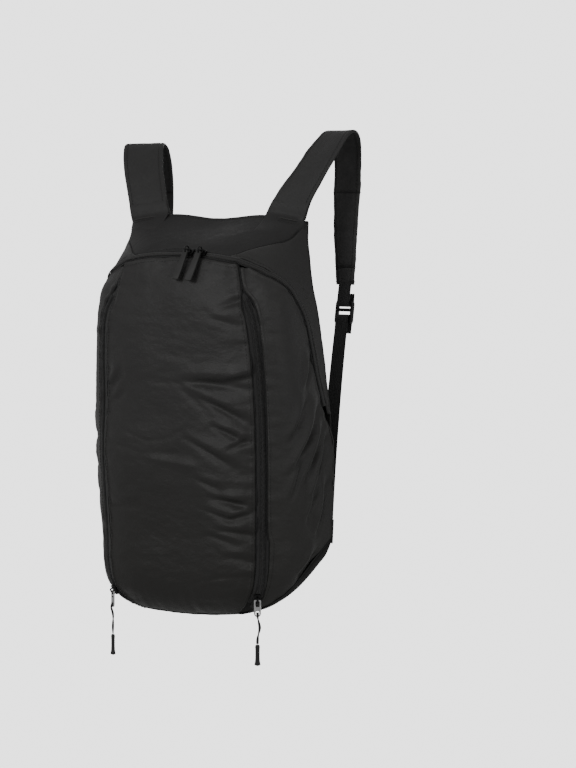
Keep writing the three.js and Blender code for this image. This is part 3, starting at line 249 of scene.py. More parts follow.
class Seam:
    """A seam through a table's rows, read by its share of real length."""

    def __init__(self, rows):
        spots = np.array([[r, level_of(r, up)] for r, up in rows])
        keys = np.arange(len(spots), dtype=float)
        at = np.linspace(0, 1, 241) * (len(spots) - 1)
        self.samples = np.stack([cubic_through(keys, spots[:, n], at) for n in (0, 1)], axis=-1)
        self.lengths = running(form(self.samples))
        self.total = self.lengths[-1]

    def __call__(self, share):
        at = np.atleast_1d(share) * self.total
        return np.stack([np.interp(at, self.lengths, self.samples[:, n]) for n in (0, 1)], axis=-1)


def mirrored(curve):
    return lambda share: curve(share) * np.array([-1.0, 1.0])


def straight(start, stop):
    start, stop = np.asarray(start, dtype=float), np.asarray(stop, dtype=float)
    return lambda share: start + (stop - start) * np.atleast_1d(share)[:, None]


def across_seam(rows, start, stop):
    keys = [row[0] for row in rows]
    levels = [level_of(row[0], row[1]) for row in rows]

    def read(share):
        round_ = start + (stop - start) * np.atleast_1d(share)
        return np.stack([round_, cubic_through(keys, levels, np.abs(round_))], axis=-1)
    return read


arch = Seam(ARCH[::-1])
ARCH_START = 0.13


def arch_part(start, stop):
    return lambda share: arch(start + (stop - start) * np.atleast_1d(share))


def height_of(places):
    return form(places)[:, 2]


def front_zip_half(height):
    closed = smooth_step(FRONT_ZIP_TOP - FRONT_ZIP_POINT, FRONT_ZIP_TOP, height)
    return SEAM_GAP / 2 + (FRONT_ZIP_WIDTH / 2 - SEAM_GAP / 2) * (1 - closed)


# Panels: a grid of places between four seams, spaced by real length, less an allowance at each seam
def grid_between(bottom, top, left, right, columns, rows, allow, reach=(0, 1), hold=1):
    fine = 60
    across = np.linspace(0, 1, fine + 1)
    ups = reach[0] + (reach[1] - reach[0]) * np.linspace(0, 1, fine + 1)
    b, t = bottom(across), top(across)
    l, r = left(ups), right(ups)
    b0, b1, t0, t1 = bottom(0)[0], bottom(1)[0], top(0)[0], top(1)[0]
    a = across[None, :, None]
    v = ups[:, None, None]
    h = v ** hold
    spots = ((1 - h) * b[None] + h * t[None] + (1 - a) * l[:, None] + a * r[:, None]
             - ((1 - a) * (1 - h) * b0 + a * (1 - h) * b1 + (1 - a) * h * t0 + a * h * t1))
    starts = np.broadcast_to(allow["left"](l), (fine + 1,))
    stops = np.broadcast_to(allow["right"](r), (fine + 1,))
    lines = np.stack([respaced(spots[j], columns, starts[j], stops[j]) for j in range(fine + 1)])
    grid = [respaced(lines[:, i], rows, allow["bottom"], allow["top"]) for i in range(columns + 1)]
    return np.stack(grid, axis=1)


def respaced(line, count, start, stop):
    lengths = running(form(line))
    at = start + (lengths[-1] - start - stop) * np.linspace(0, 1, count + 1)
    return np.stack([np.interp(at, lengths, line[:, n]) for n in (0, 1)], axis=-1)


def always(value):
    return lambda places: np.full(1, value)


def zip_allowance(places):
    return front_zip_half(height_of(places))


def bent_gap(_):
    return np.full(1, 0.4)


MAIN_HALF = MAIN_ZIP_WIDTH / 2


def front_centre_grid():
    bottom = across_seam(BASE_SEAM, -1, 1)
    top = across_seam(ARCH, -1, 1)
    left = straight(bottom(0)[0], top(0)[0])
    right = straight(bottom(1)[0], top(1)[0])
    return grid_between(bottom, top, left, right, 130, 210,
                        {"left": zip_allowance, "right": zip_allowance, "bottom": 0.3, "top": MAIN_HALF})


def front_side_grid():
    zip_top = across_seam(ARCH, 1, 1)(0)[0]
    rows = [[3, 0.1987], [3, 0.28], [3, 0.36]] + [row for row in ARCH[::-1] if row[0] > 1]
    right = Seam(rows)
    left = straight([1, level_of(1, 0.0134)], zip_top)
    bottom = across_seam(BASE_SEAM, 1, 3)
    top = straight(zip_top, right(1)[0])
    zip_start = float(height_of(arch(ARCH_START))[0])

    def right_gap(places):
        return 0.2 + (MAIN_HALF - 0.2) * smooth_step(zip_start - 26, zip_start - 8, height_of(places))
    return grid_between(bottom, top, left, right, 72, 190,
                        {"left": zip_allowance, "right": right_gap, "bottom": 0.3, "top": 0.0}, (0, 0.985))


YOKE_CORNER = arch(0.83)[0]
YOKE_ROWS = [[YOKE_CORNER[0], float(height_of(YOKE_CORNER)[0]) / BAG_HEIGHT]] + YOKE_SEAM


def side_gusset_grid():
    left = arch_part(0, 0.83)
    right = straight([3, level_of(3, 0.437)], [3, 1])
    top = Seam(YOKE_ROWS + [[3, 1]])
    bottom = straight(left(0)[0], right(0)[0])
    return grid_between(bottom, top, left, right, 44, 110,
                        {"left": always(MAIN_HALF), "right": bent_gap, "bottom": 0.0, "top": 0.2},
                        (0.12, 1), 3)


def yoke_grid():
    half = arch_part(0.83, 1)

    def bottom(share):
        share = np.atleast_1d(share)
        low = mirrored(half)(np.clip(share * 2, 0, 1))
        high = half(np.clip(2 - share * 2, 0, 1))
        return np.where((share < 0.5)[:, None], low, high)
    seam = Seam(YOKE_ROWS)
    end = YOKE_SEAM[-1][0]
    return grid_between(bottom, straight([-end, 1], [end, 1]), mirrored(seam), seam, 140, 44,
                        {"left": always(0.2), "right": always(0.2), "bottom": MAIN_HALF, "top": 0.0})


def back_grid():
    def half(round_):
        near = np.where(round_ <= 4, round_, 8 - round_)
        keys = [row[0] for row in BACK_OUTLINE]
        levels = [level_of(row[0], row[1]) for row in BACK_OUTLINE]
        return np.stack([round_, cubic_through(keys, levels, near)], axis=-1)

    def bottom(share):
        return half(3 + 2 * np.atleast_1d(share))
    return grid_between(bottom, straight([3, 1], [5, 1]), straight(bottom(0)[0], [3, 1]),
                        straight(bottom(1)[0], [5, 1]), 90, 130,
                        {"left": bent_gap, "right": bent_gap, "bottom": 0.3, "top": 0.0})


def base_points():
    """The base: ruled between the front seam and the back panel's lower edge, with a slight swell."""
    columns, rows, swell = 120, 34, 0.1
    front = Seam(BASE_SEAM[::-1])
    back = Seam(BACK_OUTLINE)

    def at(curve, share):
        low = mirrored(curve)(np.clip(share * 2, 0, 1))
        high = curve(np.clip(2 - share * 2, 0, 1))
        return np.where((share < 0.5)[:, None], low, high)
    share = 0.012 + 0.976 * np.linspace(0, 1, columns + 1)
    start, stop = form(at(back, share)), form(at(front, share))
    width = np.linalg.norm(stop - start, axis=1)
    edge = 0.3 / width
    centre = np.array([0, -KEEL_FORWARD, BASE_RISE])
    outer, normals = [], []
    for j in range(rows + 1):
        part = edge + (1 - 2 * edge) * (j / rows)
        point = start + (stop - start) * part[:, None]
        outward = unit(point - centre)
        lift = width * swell * (4 * part * (1 - part))
        outer.append(point + outward * lift[:, None])
        normals.append(outward)
    return np.array(outer), np.array(normals)


# Folds measured on the cloth: face, place across and up, length, slope, depth and breadth, in shares of the
# half width (across, deep, broad) and the height (up, long); ridges have a negative depth
FOLDS = [
    ("front", 0.4, 0.585, 0.2, -4, 0.042, 0.075),
    ("front", 0.62, 0.6, 0.09, 12, 0.026, 0.05),
    ("front", 0.46, 0.52, 0.17, -26, 0.032, 0.055),
    ("front", 0.2, 0.545, 0.12, -38, 0.014, 0.06),
    ("front", 0.51, 0.735, 0.11, -14, 0.018, 0.055),
    ("front", 0.56, 0.79, 0.1, 20, 0.016, 0.05),
    ("front", 0.5, 0.463, 0.1, -24, 0.028, 0.045),
    ("front", 0.6, 0.44, 0.07, 26, 0.022, 0.04),
    ("front", 0.36, 0.41, 0.17, -28, 0.026, 0.055),
    ("front", 0.02, 0.388, 0.17, -7, -0.016, 0.06),
    ("front", 0.33, 0.335, 0.09, -22, 0.018, 0.045),
    ("front", 0.52, 0.292, 0.13, -12, 0.03, 0.05),
    ("front", 0.6, 0.262, 0.08, 16, 0.022, 0.04),
    ("front", 0.43, 0.257, 0.1, -19, 0.02, 0.045),
    ("front", 0.55, 0.218, 0.12, -6, 0.024, 0.05),
    ("front", 0.42, 0.2, 0.1, -16, 0.016, 0.045),
    ("front", 0.56, 0.155, 0.1, -4, 0.014, 0.05),
    ("front", -0.56, 0.592, 0.07, 37, 0.024, 0.05),
    ("front", -0.55, 0.545, 0.06, 20, 0.016, 0.045),
    ("front", -0.5, 0.273, 0.12, 5, 0.016, 0.055),
    ("front", -0.55, 0.43, 0.07, -18, 0.012, 0.045),
    ("right", -0.19, 0.453, 0.2, 57, 0.03, 0.055),
    ("right", -0.29, 0.5, 0.12, 62, 0.018, 0.05),
    ("right", -0.1, 0.42, 0.16, 63, 0.024, 0.045),
    ("right", -0.04, 0.384, 0.17, 66, 0.03, 0.05),
    ("right", 0.0, 0.28, 0.14, 73, 0.026, 0.05),
    ("right", -0.12, 0.3, 0.12, 66, 0.02, 0.045),
    ("right", -0.3, 0.36, 0.12, 70, 0.014, 0.05),
    ("right", -0.155, 0.616, 0.09, 62, 0.018, 0.045),
    ("right", -0.14, 0.14, 0.09, 48, 0.018, 0.05),
    ("left", -0.16, 0.44, 0.2, 60, 0.028, 0.055),
    ("left", -0.02, 0.33, 0.15, 68, 0.026, 0.05),
    ("left", -0.25, 0.25, 0.12, 62, 0.018, 0.05),
]


FOLD_STRENGTH = {"front": 0.78, "right": 1.6, "left": 1.4}


def fold_depth(points, normals):
    """Each fold is a narrow valley with a rounded ridge above it, bent a little and fading at its ends."""
    depth = np.zeros(points.shape[:-1])
    for face, at_across, at_up, long_, slope, deep, broad in FOLDS:
        side = {"front": 0, "right": 1, "left": -1}[face]
        toward = -normals[..., 1] if side == 0 else side * normals[..., 0]
        facing = smooth_step(0.3, 0.8, toward)
        across = points[..., 0 if side == 0 else 1] - at_across * BAG_HALF_WIDTH
        up = points[..., 2] - at_up * BAG_HEIGHT
        angle = math.radians(slope)
        along = (across * math.cos(angle) + up * math.sin(angle)) / (long_ * BAG_HEIGHT)
        off = up * math.cos(angle) - across * math.sin(angle)
        off = off - 26 * long_ * (along ** 2 - 0.1) * math.copysign(1, slope)
        ends = np.clip(1 - (np.abs(along) / 0.62) ** 2, 0, 1) ** 1.5
        width = broad * BAG_HALF_WIDTH * (0.42 + 0.5 * (along + 0.5) ** 2)
        valley = np.exp(-((off / width) ** 2))
        ridge = np.exp(-(((off - 1.9 * width) / (1.5 * width)) ** 2))
        strength = FOLD_STRENGTH[face] * BAG_HALF_WIDTH
        depth += facing * ends * deep * strength * (1.15 * valley - 0.75 * ridge)
    return depth


# Noise, sampled coarsely and read smoothly, seeded by its place
def noise_field(points, scale, stretch=(1, 1, 1), seed=0.0):
    spots = np.asarray(points).reshape(-1, 3) / scale * np.array(stretch) + seed
    values = np.array([noise.noise(Vector(spot)) for spot in spots])
    return values.reshape(np.asarray(points).shape[:-1])


def crumple(points, size, stretch=(1, 1, 1), seed=0.0):
    """Soft creases: sharp valleys between rounded hills, from -1 to 0."""
    warp = noise_field(points, size * 1.7, seed=seed + 7.3)
    moved = points + warp[..., None] * size * np.array([0.5, 0.5, 0.8])
    return -np.exp(-((noise_field(moved, size, stretch, seed) / 0.09) ** 2))


def edge_distances(points):
    """Distance in mm from each of a grid's four edges, along its rows and columns."""
    across = np.linalg.norm(np.diff(points, axis=1), axis=2)
    up = np.linalg.norm(np.diff(points, axis=0), axis=2)
    left = np.concatenate([np.zeros((len(points), 1)), np.cumsum(across, axis=1)], axis=1)
    bottom = np.concatenate([np.zeros((1, points.shape[1])), np.cumsum(up, axis=0)], axis=0)
    return {"left": left, "right": left[:, -1:] - left, "bottom": bottom, "top": bottom[-1:] - bottom}


def bump(distance, middle, width):
    return np.exp(-(((distance - middle) / width) ** 2))


def pucker(distance, points, reach, size, seed, stretch):
    """Small wrinkles that start at a seam and die out over a reach."""
    wave = noise_field(points, size, stretch, seed)
    return np.exp(-distance / reach) * wave * smooth_step(0, 2.5, distance)


class Panel:
    """A piece of cloth over a grid of the form, with its outer points, normals and edge distances."""

    def __init__(self, points, normals):
        self.base = points
        self.normals = normals
        self.height = np.zeros(points.shape[:-1])
        self.edges = edge_distances(points)

    @classmethod
    def over(cls, grid):
        flat = grid.reshape(-1, 2)
        points = form(flat).reshape(*grid.shape[:2], 3)
        normals = normal_at(flat).reshape(*grid.shape[:2], 3)
        panel = cls(points, normals)
        panel.height -= fold_depth(points, normals)
        return panel

    @property
    def points(self):
        return self.base + self.normals * self.height[..., None]

    def edge(self, name, lift=0.0, inward=0):
        """The line of points along an edge, lifted off the cloth."""
        points = self.points + self.normals * lift
        return {
            "left": points[:, inward], "right": points[:, points.shape[1] - 1 - inward],
            "bottom": points[inward], "top": points[len(points) - 1 - inward],
        }[name]

    def mirror(self):
        flip = np.array([-1.0, 1.0, 1.0])
        other = Panel(self.base[:, ::-1] * flip, self.normals[:, ::-1] * flip)
        other.height = self.height[:, ::-1].copy()
        return other


def mesh_from(name, points, faces, uvs=None, smooth=True):
    mesh = bpy.data.meshes.new(name)
    mesh.from_pydata([tuple(point) for point in points], [], [tuple(face) for face in faces])
    if uvs is not None:
        layer = mesh.uv_layers.new(name="UVMap")
        corners = np.array([corner for face in faces for corner in face])
        layer.data.foreach_set("uv", np.asarray(uvs)[corners].astype(np.float32).ravel())
    if smooth:
        mesh.polygons.foreach_set("use_smooth", [True] * len(mesh.polygons))
    mesh.update()
    thing = bpy.data.objects.new(name, mesh)
    bpy.context.collection.objects.link(thing)
    return thing


def grid_faces(rows, columns, closed=False):
    width = columns
    j, i = np.meshgrid(np.arange(rows - 1), np.arange(columns if closed else columns - 1), indexing="ij")
    k = (i + 1) % width
    quads = np.stack([j * width + i, j * width + k, (j + 1) * width + k, (j + 1) * width + i], axis=-1)
    return quads.reshape(-1, 4)


def sheet_piece(name, panel, material, thickness=0.0011):
    """A panel as a thin closed sheet, thick on its inner side, with UVs in metres."""
    rows, columns = panel.base.shape[:2]
    outer = place(panel.points)
    across = panel.edges["left"] / 1000
    up = panel.edges["bottom"] / 1000
    uvs = np.stack([across, up], axis=-1).reshape(-1, 2)
    thing = mesh_from(name, outer.reshape(-1, 3), grid_faces(rows, columns), uvs)
    solid = thing.modifiers.new("thickness", "SOLIDIFY")
    solid.thickness = thickness
    solid.offset = -1
    thing.data.materials.append(material)
    return thing


def frames_along(points, normals=None):
    points = np.asarray(points, dtype=float)
    along = np.gradient(points, axis=0)
    along = unit(along)
    if normals is None:
        normals = np.broadcast_to(np.array([0.0, -1.0, 0.3]), points.shape)
    across = unit(np.cross(along, normals))
    out = unit(np.cross(across, along))
    return along, across, out


def tube_arrays(points, radius, sides=8, flat=1.0, normals=None):
    along, across, out = frames_along(points, normals)
    angles = np.linspace(0, 2 * math.pi, sides, endpoint=False)
    radii = np.broadcast_to(np.asarray(radius, dtype=float), (len(points),))
    ring = (across[:, None] * np.cos(angles)[None, :, None]
            - out[:, None] * (np.sin(angles) * flat)[None, :, None]) * radii[:, None, None]
    verts = (np.asarray(points)[:, None] + ring).reshape(-1, 3)
    faces = [tuple(face) for face in grid_faces(len(points), sides, closed=True)]
    faces.append(tuple(range(sides))[::-1])
    last = (len(points) - 1) * sides
    faces.append(tuple(range(last, last + sides)))
    lengths = running(points)
    uvs = np.stack([np.tile(angles * float(np.mean(radii)), len(points)), np.repeat(lengths, sides)], axis=-1)
    return verts, faces, uvs / 1000


def gather(parts):
    """Several vertex and face lists as one."""
    verts, faces, uvs, start = [], [], [], 0
    for part_verts, part_faces, part_uvs in parts:
        verts.append(part_verts)
        faces.extend(tuple(int(i) + start for i in face) for face in part_faces)
        uvs.append(part_uvs)
        start += len(part_verts)
    return np.concatenate(verts), faces, np.concatenate(uvs)


def dashes(lines, length=2.6, spacing=3.7, radius=0.32):
    """Stitches: short flat-lying threads along lines, each a spindle of eight faces."""
    verts, faces = [], []
    for line, normals in lines:
        lengths = running(line)
        along, across, out = frames_along(line, normals)
        at = np.arange(spacing, lengths[-1] - spacing, spacing)
        for here in at:
            centre = np.array([np.interp(here, lengths, line[:, n]) for n in range(3)])
            i = min(int(np.searchsorted(lengths, here)), len(line) - 1)
            a, c, o = along[i] * length / 2, across[i] * radius, out[i] * radius
            start = len(verts)
            verts.extend([centre - a, centre + a, centre + c, centre + o, centre - c, centre - o])
            ring = [2, 3, 4, 5]
            for k in range(4):
                one, two = ring[k], ring[(k + 1) % 4]
                faces.append((start, start + one, start + two))
                faces.append((start + 1, start + two, start + one))
    return np.array(verts), faces


# Materials, all procedural
class Nodes:
    """A short way to add and link a material's nodes."""

    def __init__(self, name):
        self.material = bpy.data.materials.new(name)
        self.material.use_nodes = True
        self.tree = self.material.node_tree
        self.shader = self.tree.nodes["Principled BSDF"]

    def add(self, kind, **inputs):
        node = self.tree.nodes.new(kind)
        for name, value in inputs.items():
            key = name.replace("_", " ")
            if key in node.inputs:
                self.put(value, node.inputs[key])
            else:
                setattr(node, name, value)
        return node

    def put(self, value, socket):
        if isinstance(value, bpy.types.NodeSocket):
            self.tree.links.new(value, socket)
        else:
            socket.default_value = value

    def set(self, **inputs):
        for name, value in inputs.items():
            self.put(value, self.shader.inputs[name.replace("_", " ")])

    def where(self, kind="Object"):
        return self.add("ShaderNodeTexCoord").outputs[kind]

    def scaled(self, source, scale):
        node = self.add("ShaderNodeMapping")
        self.put(source, node.inputs["Vector"])
        node.inputs["Scale"].default_value = scale
        return node.outputs["Vector"]

    def noise(self, source, scale, detail=3.0, roughness=0.5):
        node = self.add("ShaderNodeTexNoise", Scale=scale, Detail=detail, Roughness=roughness)
        self.put(source, node.inputs["Vector"])
        return node.outputs["Fac"]

    def bands(self, source, axis, pitch):
        node = self.add("ShaderNodeTexWave")
        node.bands_direction = axis
        node.inputs["Scale"].default_value = 2 * math.pi / (20 * pitch)
        self.put(source, node.inputs["Vector"])
        return node.outputs["Fac"]

    def math(self, kind, one, two):
        node = self.add("ShaderNodeMath")
        node.operation = kind
        self.put(one, node.inputs[0])
        self.put(two, node.inputs[1])
        return node.outputs[0]

    def ramp(self, source, stops):
        node = self.add("ShaderNodeValToRGB")
        self.put(source, node.inputs["Fac"])
        ramp = node.color_ramp
        while len(ramp.elements) < len(stops):
            ramp.elements.new(0.5)
        for element, (at, colour) in zip(ramp.elements, stops):
            element.position = at
            element.color = (*colour, 1.0)
        return node.outputs["Color"]

    def mixed(self, share, one, two):
        node = self.add("ShaderNodeMix")
        node.data_type = "RGBA"
        self.put(share, node.inputs["Factor"])
        self.put(one, node.inputs[6])
        self.put(two, node.inputs[7])
        return node.outputs[2]

    def spread(self, source, low, high):
        node = self.add("ShaderNodeMapRange")
        self.put(source, node.inputs["Value"])
        node.inputs["To Min"].default_value = low
        node.inputs["To Max"].default_value = high
        return node.outputs["Result"]

    def bump(self, height, distance, strength=1.0, normal=None):
        node = self.add("ShaderNodeBump")
        node.inputs["Strength"].default_value = strength
        node.inputs["Distance"].default_value = distance
        self.put(height, node.inputs["Height"])
        if normal is not None:
            self.put(normal, node.inputs["Normal"])
        return node.outputs["Normal"]


def tinted(colour, share):
    return tuple(channel * share for channel in colour)


def mottled(n, source, colour, low, high):
    """A colour that varies a little; low and high are (place on the noise, share of the colour)."""
    return n.ramp(source, [(at, tinted(colour, share)) for at, share in (low, high)])


def cloth_material(name, colour, rough=0.5, sheen=0.1, crinkle=1.0, weave=0.0007, strength=0.25,
                   painted_shade=None, painted_shade_span=(-0.52, -0.26)):
    """Thin woven nylon; its optional second colour is painted shade, darker and warmer, blended in low on the
    bag over a span of heights, where the bag lies in shade.
    """
    n = Nodes(name)
    spot = n.where()
    uv = n.where("UV")
    cloudy = n.noise(spot, 14.0, 4.0, 0.6)
    high = mottled(n, cloudy, colour, (0.3, 0.9), (0.7, 1.1))
    # Painted shade: the colour turns darker and warmer towards the bottom.
    if painted_shade:
        low = mottled(n, cloudy, painted_shade, (0.3, 0.9), (0.7, 1.1))
        split = n.add("ShaderNodeSeparateXYZ")
        n.put(spot, split.inputs[0])
        up = n.add("ShaderNodeMapRange")
        n.put(split.outputs["Z"], up.inputs["Value"])
        up.inputs["From Min"].default_value = painted_shade_span[0]
        up.inputs["From Max"].default_value = painted_shade_span[1]
        high = n.mixed(up.outputs["Result"], low, high)
    n.set(Base_Color=high)
    n.set(Roughness=n.spread(n.noise(spot, 60.0, 3.0), rough - 0.06, rough + 0.08))
    n.set(Sheen_Weight=sheen, Sheen_Roughness=0.4)
    normal = n.bump(n.noise(n.scaled(spot, (1.0, 1.0, 1.7)), 34.0, 3.0, 0.55), 0.0016 * crinkle)
    ripples = n.noise(n.scaled(spot, (1.0, 1.0, 1.4)), 120.0, 3.0, 0.6)
    normal = n.bump(ripples, 0.00045 * crinkle, normal=normal)
    threads = n.math("ADD", n.bands(uv, "X", weave), n.bands(uv, "Y", weave))
    n.set(Normal=n.bump(threads, weave * 0.25, strength, normal=normal))
    return n.material


def tape_material(name, colour, pitch=0.0011):
    n = Nodes(name)
    uv = n.where("UV")
    n.set(Base_Color=mottled(n, n.noise(n.where(), 900.0, 2.0), colour, (0.2, 0.7), (0.8, 1.3)))
    n.set(Roughness=0.75, Sheen_Weight=0.2)
    ribs = n.math("MULTIPLY", n.bands(uv, "Y", pitch), n.bands(uv, "X", pitch * 1.7))
    n.set(Normal=n.bump(ribs, pitch * 0.4, 0.8))
    return n.material


def solid_tape_material(name, colour, pitch=0.0012):
    """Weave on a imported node, which has no UVs, in the object's own place."""
    n = Nodes(name)
    spot = n.where()
    n.set(Base_Color=mottled(n, n.noise(spot, 700.0, 2.0), colour, (0.2, 0.7), (0.8, 1.3)))
    n.set(Roughness=0.75, Sheen_Weight=0.2)
    ribs = n.math("MULTIPLY", n.bands(spot, "X", pitch), n.bands(spot, "Z", pitch))
    n.set(Normal=n.bump(ribs, pitch * 0.4, 0.8))
    return n.material


def metal_material(name, colour, rough, metallic=1.0):
    n = Nodes(name)
    spot = n.where()
    n.set(Base_Color=mottled(n, n.noise(spot, 300.0, 3.0), colour, (0.3, 0.85), (0.7, 1.1)))
    n.set(Metallic=metallic, Roughness=n.spread(n.noise(spot, 500.0, 4.0), rough * 0.7, rough * 1.4))
    n.set(Normal=n.bump(n.noise(spot, 900.0, 3.0), 0.00004, 0.5))
    return n.material


def moulded_material(name, colour, rough, grain=900.0, depth=0.00006):
    n = Nodes(name)
    spot = n.where()
    n.set(Base_Color=mottled(n, n.noise(spot, 120.0, 3.0), colour, (0.3, 0.85), (0.7, 1.2)))
    n.set(Roughness=n.spread(n.noise(spot, 260.0, 3.0), rough - 0.08, rough + 0.08))
    n.set(Normal=n.bump(n.noise(spot, grain, 3.0), depth, 0.6))
    return n.material


def braid_material(name, colour, pitch=0.0011):
    n = Nodes(name)
    uv = n.where("UV")
    turned = n.add("ShaderNodeMapping")
    n.put(uv, turned.inputs["Vector"])
    turned.inputs["Rotation"].default_value = (0, 0, math.radians(45))
    weave = n.math("MULTIPLY", n.bands(turned.outputs["Vector"], "X", pitch),
                   n.bands(turned.outputs["Vector"], "Y", pitch))
    n.set(Base_Color=mottled(n, weave, colour, (0.1, 0.5), (0.9, 1.5)))
    n.set(Roughness=0.7, Sheen_Weight=0.3)
    n.set(Normal=n.bump(weave, 0.00025, 1.0))
    return n.material


# The front cloth turns darker and warmer towards the bottom of the bag as painted shade.
CLOTH = cloth_material("thin_nylon", (0.0215, 0.0205, 0.0198), rough=0.5, sheen=0.1,
                       painted_shade=(0.0095, 0.0088, 0.0068))
# The yoke is the same cloth as the straps, painted darker as shade.
SHADED_YOKE_CLOTH = cloth_material("thin_nylon_yoke_painted_shade", (0.0125, 0.012, 0.0117), rough=0.58, sheen=0.02)
# The side cloth also turns darker and warmer towards the bottom as painted shade.
SIDE_CLOTH = cloth_material("thin_nylon_side", (0.0235, 0.0228, 0.0218), rough=0.48, sheen=0.1,
                            painted_shade=(0.0165, 0.0158, 0.0135))
BACK_CLOTH = cloth_material("thin_nylon_back", (0.015, 0.0145, 0.014), rough=0.55, sheen=0.1)
# The base's cloth is painted near black as shade on the bag's underside.
SHADED_BASE_CLOTH = cloth_material("base_nylon_painted_shade", (0.0028, 0.0026, 0.0019), rough=0.8, sheen=0.0, crinkle=0.6)
STRAP_CLOTH = cloth_material("strap_nylon", (0.0205, 0.02, 0.0195), rough=0.5, sheen=0.1, crinkle=0.4,
                             weave=0.0009, strength=0.4)
# The root's cloth darkens to the yoke's shaded colour towards its lower edge: painted shade.
ROOT_CLOTH = cloth_material("thin_nylon_root", (0.0205, 0.02, 0.0195), rough=0.52, sheen=0.05, crinkle=0.5,
                            painted_shade=(0.0125, 0.012, 0.0117), painted_shade_span=(-0.088, -0.071))
# Near-black tubes: dark piping at seams, and painted shadow where laid across the straps' seams.
PIPING_AND_SEAM_SHADOW = cloth_material("piping_and_seam_shadow_cloth", (0.0035, 0.0035, 0.0036), rough=0.6, sheen=0.0, crinkle=0.1)
TAPE = tape_material("zip_tape", (0.02, 0.0195, 0.0188))
SOLID_TAPE = solid_tape_material("zip_tape_solid", (0.021, 0.0207, 0.0203))
WEBBING = tape_material("webbing", (0.0042, 0.0042, 0.0045), 0.0014)
THREAD = moulded_material("sewing_thread", (0.013, 0.013, 0.0125), 0.6)
COIL = moulded_material("nylon_coil", (0.032, 0.0317, 0.0312), 0.42)
SLIDER = metal_material("black_enamel", (0.006, 0.006, 0.006), 0.28, 0.4)
METAL = metal_material("polished_nickel", (0.62, 0.62, 0.62), 0.16)
DARK_METAL = metal_material("black_nickel", (0.05, 0.05, 0.052), 0.2)
RUBBER = moulded_material("moulded_rubber", (0.012, 0.012, 0.0118), 0.5, 700.0)
TAB_RUBBER = moulded_material("tab_rubber", (0.026, 0.0255, 0.0245), 0.5, 600.0)
CORD = braid_material("braided_cord", (0.007, 0.007, 0.0075))
PLASTIC = moulded_material("moulded_plastic", (0.006, 0.006, 0.0062), 0.36)


# The cloth panels with their puckers, lips and seams
def soft_relief(panel, seed, depth=1.0):
    """Uneven cloth over the whole panel: broad swells, a few soft creases and slight ripples."""
    points = panel.base
    panel.height += depth * 1.8 * noise_field(points, 95.0, (1, 1, 1.3), seed)
    panel.height += depth * 0.7 * crumple(points, 60.0, (0.55, 0.55, 1.7), seed + 1.7) * \
        smooth_step(-0.05, 0.4, noise_field(points, 110.0, seed=seed + 5.1))
    panel.height += depth * 0.45 * noise_field(points, 22.0, (0.8, 0.8, 1.5), seed + 3.3)
    panel.height += depth * 0.22 * noise_field(points, 8.0, (0.8, 0.8, 1.4), seed + 9.1)


def zip_lip(panel, name, reach=1.0):
    """The cloth turned under beside a zip: a rounded lip that dives in at its very edge."""
    distance = panel.edges[name]
    panel.height += reach * (1.1 * bump(distance, 3.6, 2.4) - 1.5 * bump(distance, 0.0, 0.9))


def seam_groove(panel, name, depth=0.9, width=1.6):
    panel.height -= depth * np.exp(-(panel.edges[name] / width) ** 2)


def stitch_line(panel, name, inset=5.6, depth=0.35):
    panel.height -= depth * bump(panel.edges[name], inset, 0.8)


def make_front_centre():
    panel = Panel.over(front_centre_grid())
    soft_relief(panel, 11.0)
    upright = (0.6, 0.6, 2.6)
    for name, seed in (("left", 21.0), ("right", 31.0)):
        panel.height += 2.6 * pucker(panel.edges[name], panel.base, 14.0, 26.0, seed, upright)
        panel.height += 1.0 * pucker(panel.edges[name], panel.base, 8.0, 11.0, seed + 4, upright)
        zip_lip(panel, name)
        stitch_line(panel, name)
    panel.height += 2.0 * pucker(panel.edges["top"], panel.base, 14.0, 24.0, 41.0, (2.4, 1, 0.6))
    panel.height += 1.6 * pucker(panel.edges["bottom"], panel.base, 18.0, 20.0, 51.0, (2.4, 1, 0.6))
    zip_lip(panel, "top", 0.6)
    stitch_line(panel, "top", 4.6)
    seam_groove(panel, "bottom")
    return panel


def make_front_side(seed):
    panel = Panel.over(front_side_grid())
    soft_relief(panel, seed, 0.9)
    panel.height += 2.2 * pucker(panel.edges["left"], panel.base, 12.0, 24.0, seed + 2, (0.6, 0.6, 2.6))
    panel.height += 1.8 * pucker(panel.edges["right"], panel.base, 12.0, 20.0, seed + 4, (0.8, 0.8, 2.4))
    panel.height += 1.5 * pucker(panel.edges["bottom"], panel.base, 22.0, 18.0, seed + 6, (2.2, 1.2, 0.6))
    zip_lip(panel, "left")
    stitch_line(panel, "left")
    zip_height = panel.base[..., 2]
    beside_zip = smooth_step(205, 232, zip_height)
    distance = panel.edges["right"]
    panel.height += beside_zip * (0.7 * bump(distance, 3.4, 2.2) - 1.0 * bump(distance, 0.0, 0.9))
    panel.height -= (1 - beside_zip) * 0.9 * np.exp(-(distance / 1.6) ** 2)
    panel.height -= beside_zip * 0.35 * bump(distance, 4.8, 0.8)
    seam_groove(panel, "bottom")
    return panel


def make_gusset(seed):
    panel = Panel.over(side_gusset_grid())
    soft_relief(panel, seed, 0.6)
    panel.height += 1.2 * pucker(panel.edges["left"], panel.base, 10.0, 18.0, seed + 2, (0.8, 0.8, 2.2))
    panel.height += 0.7 * bump(panel.edges["left"], 3.4, 2.2) - 1.0 * bump(panel.edges["left"], 0.0, 0.9)
    stitch_line(panel, "left", 4.8)
    seam_groove(panel, "right")
    seam_groove(panel, "top", 0.7)
    return panel


